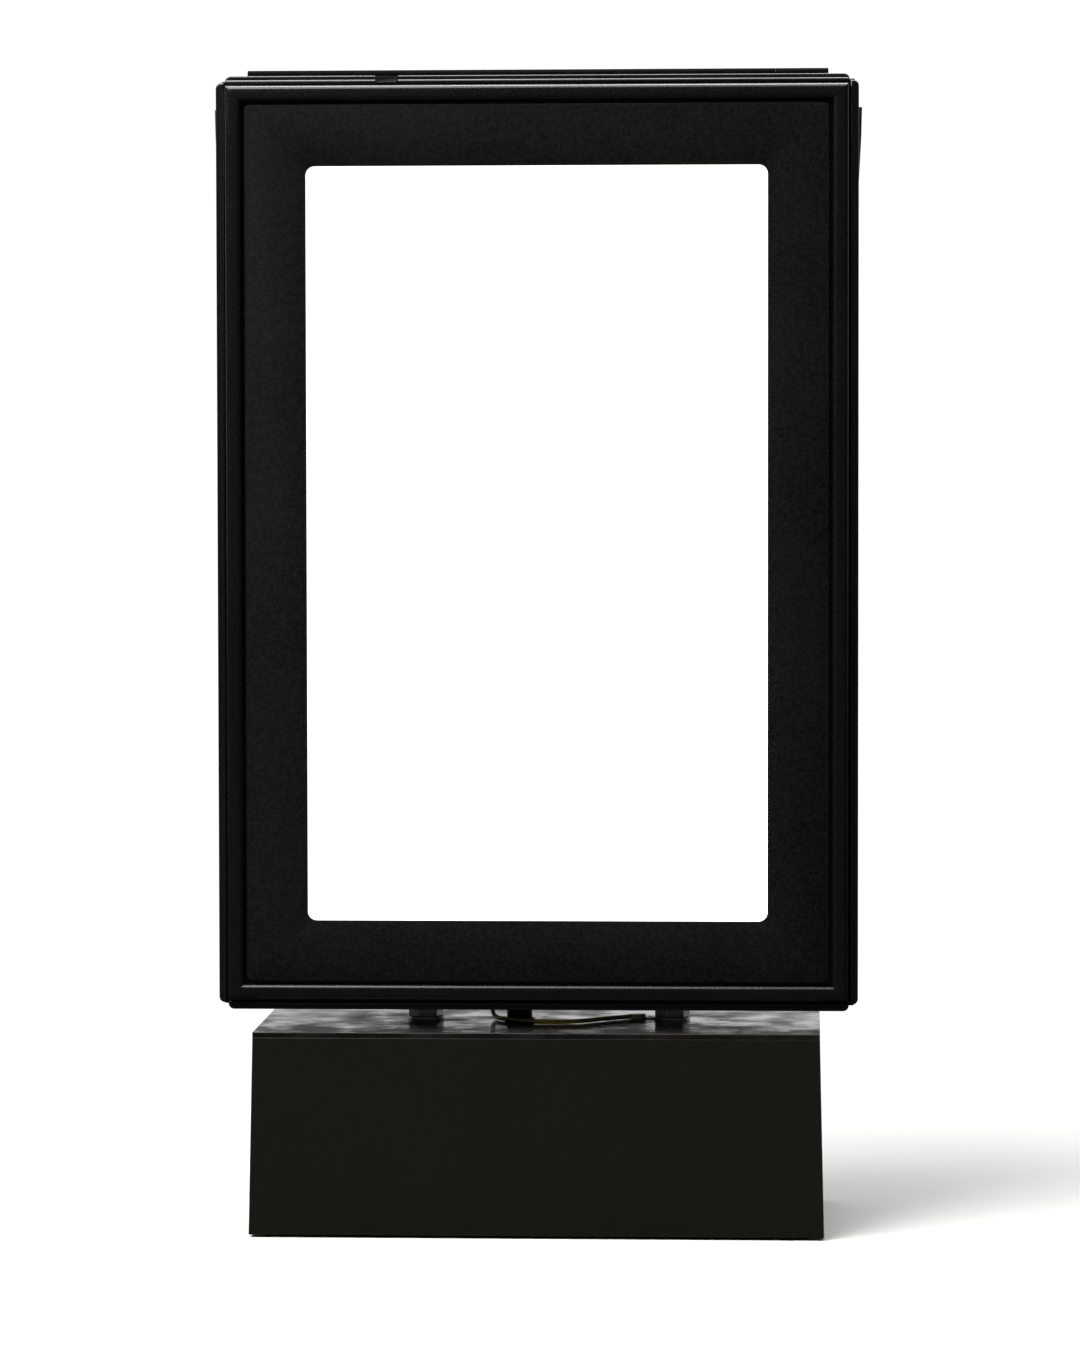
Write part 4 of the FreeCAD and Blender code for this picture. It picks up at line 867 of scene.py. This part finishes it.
# %% The textured panel: a sheet with a rounded window, and a soft pressed rim
def rounded_sheet(name, low, high, radius, segments=6):
    piece = block(name, low, high)
    pick(piece, "EDGE", lambda a, b: not near(a.y, b.y))
    bpy.ops.mesh.bevel(offset=radius, segments=segments, affect="EDGES")
    leave()
    return piece


WINDOW_HALF = Vector((125.7 * MM, 0, 205.7 * MM))
middle = (PANEL_LOW + PANEL_HIGH) / 2
panel = rounded_sheet("mask_panel_sheet", PANEL_LOW, PANEL_HIGH, 3 * MM)
reach = Vector((0, 0.01, 0))
window_low = middle - WINDOW_HALF - reach
window = rounded_sheet("window_opening", window_low, middle + WINDOW_HALF + reach, 5 * MM, 8)
apply_modifier(panel, "BOOLEAN", object=window, operation="DIFFERENCE", solver="EXACT")
bpy.data.objects.remove(window)
ease(panel, 0.4 * MM, segments=3)
hand_over(panel, "mask_panel", smooth=30)

# %% The opal sheet: a flat panel with a shallow step round its rim, behind the window
low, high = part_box("diffuser")
sheet = rounded_sheet("diffuser_sheet", low, high, 4 * MM)
pick(sheet, "FACE", lambda middle, normal: normal.y < -0.9)
bpy.ops.mesh.inset(thickness=0.0075)
bpy.ops.transform.translate(value=(0, 0.0002, 0))
leave()
ease(sheet, 0.4 * MM, degrees=40)
hand_over(sheet, "diffuser")


# %% [markdown]
# ## The hinge along the top
#
# A continuous hinge is two leaves rolled in turn round one long pin. From the front it reads as one dark
# cylinder with fine joints. One knuckle is a cylinder with eased ends, copied along the pin: every other one
# belongs to the door. The leaves are thin plain blocks with rounded lower corners.

# %% One knuckle, copied along the pin
HINGE_LOW, HINGE_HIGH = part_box("hinge_pin")
PIN_AXIS = (HINGE_LOW + HINGE_HIGH) / 2
KNUCKLES = 11
KNUCKLE_RADIUS = 3 * MM
KNUCKLE_LONG = (HINGE_HIGH.x - HINGE_LOW.x) / KNUCKLES
KNUCKLE_JOINT = 0.05 * MM


def knuckles(name, first):
    middle_x = HINGE_LOW.x + (first + 0.5) * KNUCKLE_LONG
    piece = start("cylinder", name, vertices=32, radius=KNUCKLE_RADIUS, depth=KNUCKLE_LONG - KNUCKLE_JOINT,
                  end_fill_type="NGON", location=(middle_x, PIN_AXIS.y, PIN_AXIS.z), rotation=(0, math.pi / 2, 0))
    pick(piece, "FACE", lambda middle, normal: abs(normal.x) > 0.9)
    bpy.ops.mesh.inset(thickness=KNUCKLE_RADIUS - 1.33 * MM, use_individual=True)
    bpy.ops.mesh.delete(type="FACE")
    leave()
    ease(piece, 0.12 * MM)
    more = range(1, (KNUCKLES - first + 1) // 2)
    return copies(piece, [Vector((2 * step * KNUCKLE_LONG, 0, 0)) for step in more])


def leaf(node, first):
    low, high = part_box(node)
    low = Vector((HINGE_LOW.x, low.y, low.z))
    top = PIN_AXIS.z - KNUCKLE_RADIUS * 0.75
    sheet_y = (high.y - 0.0008, high.y) if node == "hinge_leaf_case" else (low.y, low.y + 0.0008)
    flat = block(node + "_leaf", (low.x, sheet_y[0], low.z), (HINGE_HIGH.x, sheet_y[1], top))
    pick(flat, "EDGE", lambda a, b: not near(a.y, b.y) and near(a.z, low.z))
    bpy.ops.mesh.bevel(offset=0.0015, segments=4, affect="EDGES")
    leave()
    ease(flat, 0.2 * MM)
    return join([flat, knuckles(node + "_knuckles", first)])


hand_over(leaf("hinge_leaf_door", 1), "hinge_leaf_door")
hand_over(leaf("hinge_leaf_case", 0), "hinge_leaf_case")


# %% [markdown]
# ## Studs and their threads
#
# Two M10 studs carry the case. A thread is one ridge wound round a core, so a small triangle is drawn beside the
# core and turned with the Screw modifier, one pitch upwards for each turn.

# %% One threaded stud, and its copy
STUDS_LOW, STUDS_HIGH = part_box("mounting_studs")
STUD_RADIUS = 5 * MM
PITCH = 1.5 * MM
STUD_GAP = STUDS_HIGH.x - STUDS_LOW.x - 2 * STUD_RADIUS
stud_axis = Vector((STUDS_LOW.x + STUD_RADIUS, (STUDS_LOW.y + STUDS_HIGH.y) / 2, 0))
length = STUDS_HIGH.z - STUDS_LOW.z
core = start("cylinder", "stud_core", vertices=32, radius=STUD_RADIUS - 0.0009, depth=length,
             location=(0, 0, (STUDS_LOW.z + STUDS_HIGH.z) / 2))
pick(core, "EDGE", lambda a, b: near(a.z, b.z))
bpy.ops.mesh.bevel(offset=0.0009, segments=2, affect="EDGES")
leave()
ridge = start("circle", "stud_ridge", vertices=3, radius=0.00075,
              location=(STUD_RADIUS - 0.00076, 0, STUDS_LOW.z + 0.0012), rotation=(math.pi / 2, math.pi / 2, 0))
turns = int((length - 0.0026) / PITCH)
apply_modifier(ridge, "SCREW", axis="Z", angle=math.tau, screw_offset=PITCH, iterations=turns, steps=28,
               render_steps=28, use_normal_calculate=True)
stud = join([core, ridge])
stud.data.transform(Matrix.Translation(stud_axis))
stud.name = "threaded_studs"
stud = copies(stud, [Vector((STUD_GAP, 0, 0))])
pick(stud, "FACE", lambda middle, normal: True)
bpy.ops.mesh.normals_make_consistent(inside=False)
leave()
hand_over(stud, "mounting_studs", smooth=40)

# %% [markdown]
# ## Bush and leads
#
# The supply lead rises through a ribbed bush. The leads are limp wires held at both ends, so each is a NURBS
# curve through a few listed points, given its thickness and made a mesh. The ribs of the bush are every
# other strip of faces of a cylinder, pushed outwards.

# %% The ribbed bush
BUSH_LOW, BUSH_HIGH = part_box("plinth_bush")
bush_axis = (BUSH_LOW + BUSH_HIGH) / 2
PLINTH_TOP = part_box("plinth_top_plate")[1].z
SLEEVE = 3.65 * MM


def sleeve(name, low_z, high_z, outer, vertices=48):
    """A tube round the supply lead."""
    piece = start("cylinder", name, vertices=vertices, radius=outer, depth=high_z - low_z,
                  location=(bush_axis.x, bush_axis.y, (low_z + high_z) / 2))
    pick(piece, "FACE", lambda middle, normal: abs(normal.z) > 0.9)
    bpy.ops.mesh.inset(thickness=outer - SLEEVE, use_individual=True)
    bpy.ops.mesh.bridge_edge_loops()
    leave()
    return piece


flange = sleeve("bush_flange", PLINTH_TOP, PLINTH_TOP + 0.0018, 0.0085)
barrel = sleeve("bush_barrel", PLINTH_TOP + 0.0018, BUSH_HIGH.z, 0.0061)


def every_other_strip(middle, normal):
    angle = math.atan2(middle.y - bush_axis.y, middle.x - bush_axis.x)
    outside = (middle - Vector((bush_axis.x, bush_axis.y, middle.z))).length > 0.0055
    return outside and abs(normal.z) < 0.1 and round(angle / math.tau * 48 - 0.5) % 2 == 0


pick(barrel, "FACE", every_other_strip)
bpy.ops.mesh.extrude_faces_move(TRANSFORM_OT_shrink_fatten={"value": 0.0009})
leave()
bush = join([flange, barrel, sleeve("bush_tail", BUSH_LOW.z, PLINTH_TOP, 0.0059)])
ease(bush, 0.2 * MM)
bush.name = "plinth_bush_ribbed"
hand_over(bush, "plinth_bush", smooth=30)


# %% Leads
def lead(name, points, radius):
    data = bpy.data.curves.new(name, "CURVE")
    data.dimensions = "3D"
    data.bevel_depth = radius
    data.bevel_resolution = 5
    data.resolution_u = 14
    data.use_fill_caps = True
    line = data.splines.new("NURBS")
    line.points.add(len(points) - 1)
    for point, place_mm in zip(line.points, points):
        point.co = (*(Vector(place_mm) * MM), 1.0)
    line.order_u = 3
    line.use_endpoint_u = True
    piece = bpy.data.objects.new(name, data)
    bpy.context.scene.collection.objects.link(piece)
    only(piece)
    bpy.ops.object.convert(target="MESH")
    return bpy.context.object


REST = PLINTH_TOP / MM + 1.4
earth = lead("earth_lead", [(-28, 2, 150), (-28, 2, 128), (-28, 2, 118), (-27, -4, REST), (-20, -19, REST),
                            (-2, -32, REST), (22, -28, REST), (38, -10, REST), (49.3, -2.4, REST)], 0.0012)
hand_over(earth, "earth_wire", smooth=60)
supply_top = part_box("power_supply")[1].z / MM
supply = lead("supply_lead_round", [(-12, -12, supply_top), (-12, -12, 130), (-12, -12, 156), (-12, -6, 160),
                                    (-12, 5, 160), (-12, 11, 164), (-12, 11, 190)], 0.0035)
hand_over(supply, "supply_lead", smooth=60)
print("bush and leads done")


# %% [markdown]
# ## Rubber lips and feet
#
# The seal strips are plain extruded rubber, and stand out a little past the door near the top. The feet are
# turned rubber pads with a recess for the screw.

# %% The seal lips
def seal(node):
    low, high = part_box(node)
    outward = 1 if high.x > 0 else -1
    inner = low.x if outward > 0 else high.x
    edge = inner + outward * 13.3 * MM
    tip = high.x if outward > 0 else low.x
    piece = block(node + "_lip", (min(inner, edge), low.y, low.z), (max(inner, edge), high.y, high.z))
    for level in (high.z - 0.056, high.z - 0.016):
        pick(piece, "FACE", lambda middle, normal: True)
        bpy.ops.mesh.bisect(plane_co=(0, 0, level), plane_no=(0, 0, 1))
    for level, reach in ((high.z - 0.016, abs(tip) - 0.0004), (high.z, abs(tip))):
        corner = Vector((edge, 0, level))
        pick(piece, "EDGE", lambda a, b: all(near(end.x, corner.x) and near(end.z, corner.z) for end in (a, b)))
        bpy.ops.transform.translate(value=(outward * reach - edge, 0, 0))
    leave()
    ease(piece, 0.4 * MM, segments=3)
    return piece


for node in ("door_seal_left", "door_seal_right"):
    hand_over(seal(node), node)


# %% The feet
def foot():
    low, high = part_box("plinth_feet")
    radius = 9 * MM
    piece = start("cylinder", "foot", vertices=40, radius=radius, depth=high.z - low.z,
                  location=(low.x + radius, low.y + radius, (low.z + high.z) / 2))
    pick(piece, "FACE", lambda middle, normal: normal.z < -0.9)
    bpy.ops.mesh.inset(thickness=radius - 4.6 * MM)
    bpy.ops.mesh.extrude_region_move(TRANSFORM_OT_translate={"value": (0, 0, 0.0021)})
    leave()
    ease(piece, 0.6 * MM, segments=3)
    across = Vector((high.x - low.x - 2 * radius, 0, 0))
    back = Vector((0, high.y - low.y - 2 * radius, 0))
    return copies(piece, [across, back, across + back])


hand_over(foot(), "plinth_feet")


# %% [markdown]
# ## The rear cover
#
# The deep cover at the back is moulded, with two sets of air slots. Each slot has a shallow hood above it that
# keeps drips out. The cover's shape comes from the frame, and one hood is modelled and copied to every slot.

# %% Louvre hoods
COVER_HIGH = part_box("rear_cover")[1]
SLOT_HALF = 62 * MM
SLOT_LEVELS = [start_z + step * 9 * MM for start_z in (0.160, 0.505) for step in range(7)]


def hood():
    low_z = SLOT_LEVELS[0] + 3 * MM
    piece = block("hood", (-SLOT_HALF, COVER_HIGH.y - 0.0006, low_z),
                  (SLOT_HALF, COVER_HIGH.y + 0.0026, low_z + 0.0032))
    pick(piece, "EDGE", lambda a, b: near(a.y, COVER_HIGH.y + 0.0026) and near(b.y, a.y) and near(a.z, b.z)
         and a.z > low_z + 0.001)
    bpy.ops.mesh.bevel(offset=0.0024, segments=5, affect="EDGES")
    leave()
    ease(piece, 0.3 * MM)
    return copies(piece, [Vector((0, 0, level - SLOT_LEVELS[0])) for level in SLOT_LEVELS[1:]])


hoods = hood()
hoods.name = "louvre_hoods"
bpy.ops.object.shade_smooth_by_angle(angle=math.radians(35))
hoods.data.materials.append(MATERIALS["cover_plastic"])
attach(hoods, "root")
print("hoods", len(hoods.data.polygons), "faces")


# %% [markdown]
# ## Lamps
#
# Each lamp is a small yellow package with a flattened dome. One is made from a cube whose front is inset and
# pressed in, with the dome in the well, and copied to the sixty places on the two boards.

# %% One lamp, copied to every place
LEDS_LOW, LEDS_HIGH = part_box("leds")
LED = 3.5 * MM
LED_PITCH = 32 * MM


def lamp_package():
    corner = Vector((LEDS_LOW.x, LEDS_LOW.y, LEDS_LOW.z))
    piece = block("lamp", corner, corner + Vector((LED, LEDS_HIGH.y - LEDS_LOW.y, LED)))
    pick(piece, "FACE", lambda middle, normal: normal.y < -0.9)
    bpy.ops.mesh.inset(thickness=0.0005)
    bpy.ops.mesh.extrude_region_move(TRANSFORM_OT_translate={"value": (0, 0.0003, 0)})
    leave()
    centre = corner + Vector((LED / 2, 0.0003, LED / 2))
    dome = start("uv_sphere", "dome", segments=12, ring_count=6, radius=0.0011, location=centre,
                 scale=(1, 0.25, 1))
    return join([piece, dome])


board_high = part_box("led_board_upper")
board_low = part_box("led_board_lower")
between = Vector((0, 0, board_high[0].z - board_low[0].z))
spots = [
    Vector((column * LED_PITCH, 0, line * LED_PITCH)) + board * between
    for board in (0, 1)
    for line in range(5)
    for column in range(6)
]
lamps = copies(lamp_package(), [spot for spot in spots if spot.length > 0])
lamps.name = "lamp_packages"
hand_over(lamps, "leds")


# %% [markdown]
# ## Everything else keeps its CAD shape
#
# The remaining parts already have the right shape. A merged copy with eased edges catches light as a real edge
# does, and stands for the sharp one. Parts that are never seen closely keep their own mesh and take a finish.

# %% Easing the edges of larger parts
EASED = {
    "plinth_shell": 0.2,
    "plinth_top_plate": 0.1,
    "case_pan": 0.5,
    "door_pan": 0.3,
    "case_stiffener": 0.4,
    "gear_plate": 0.4,
    "led_drivers": 0.5,
    "mains_inlet": 0.3,
    "power_rocker": 0.5,
    "power_supply": 0.6,
    "ballast_block": 0.6,
    "stud_washers": 0.2,
    "stud_nuts": 0.5,
    "magnet_catches": 0.3,
}
for node, width in EASED.items():
    if not frame["nodes"][node].hide_render:
        softened(node, width)

# %% Finishes for the nodes that stay
for node, thing in frame["nodes"].items():
    if thing.hide_render:
        continue
    finish_of_node = MATERIALS[SLOT_OF[node]]
    if not thing.material_slots:
        thing.data.materials.append(finish_of_node)
    for slot in thing.material_slots:
        slot.material = finish_of_node
print(sum(1 for thing in frame["nodes"].values() if not thing.hide_render), "CAD nodes kept")

# %% The end
print("end of script")
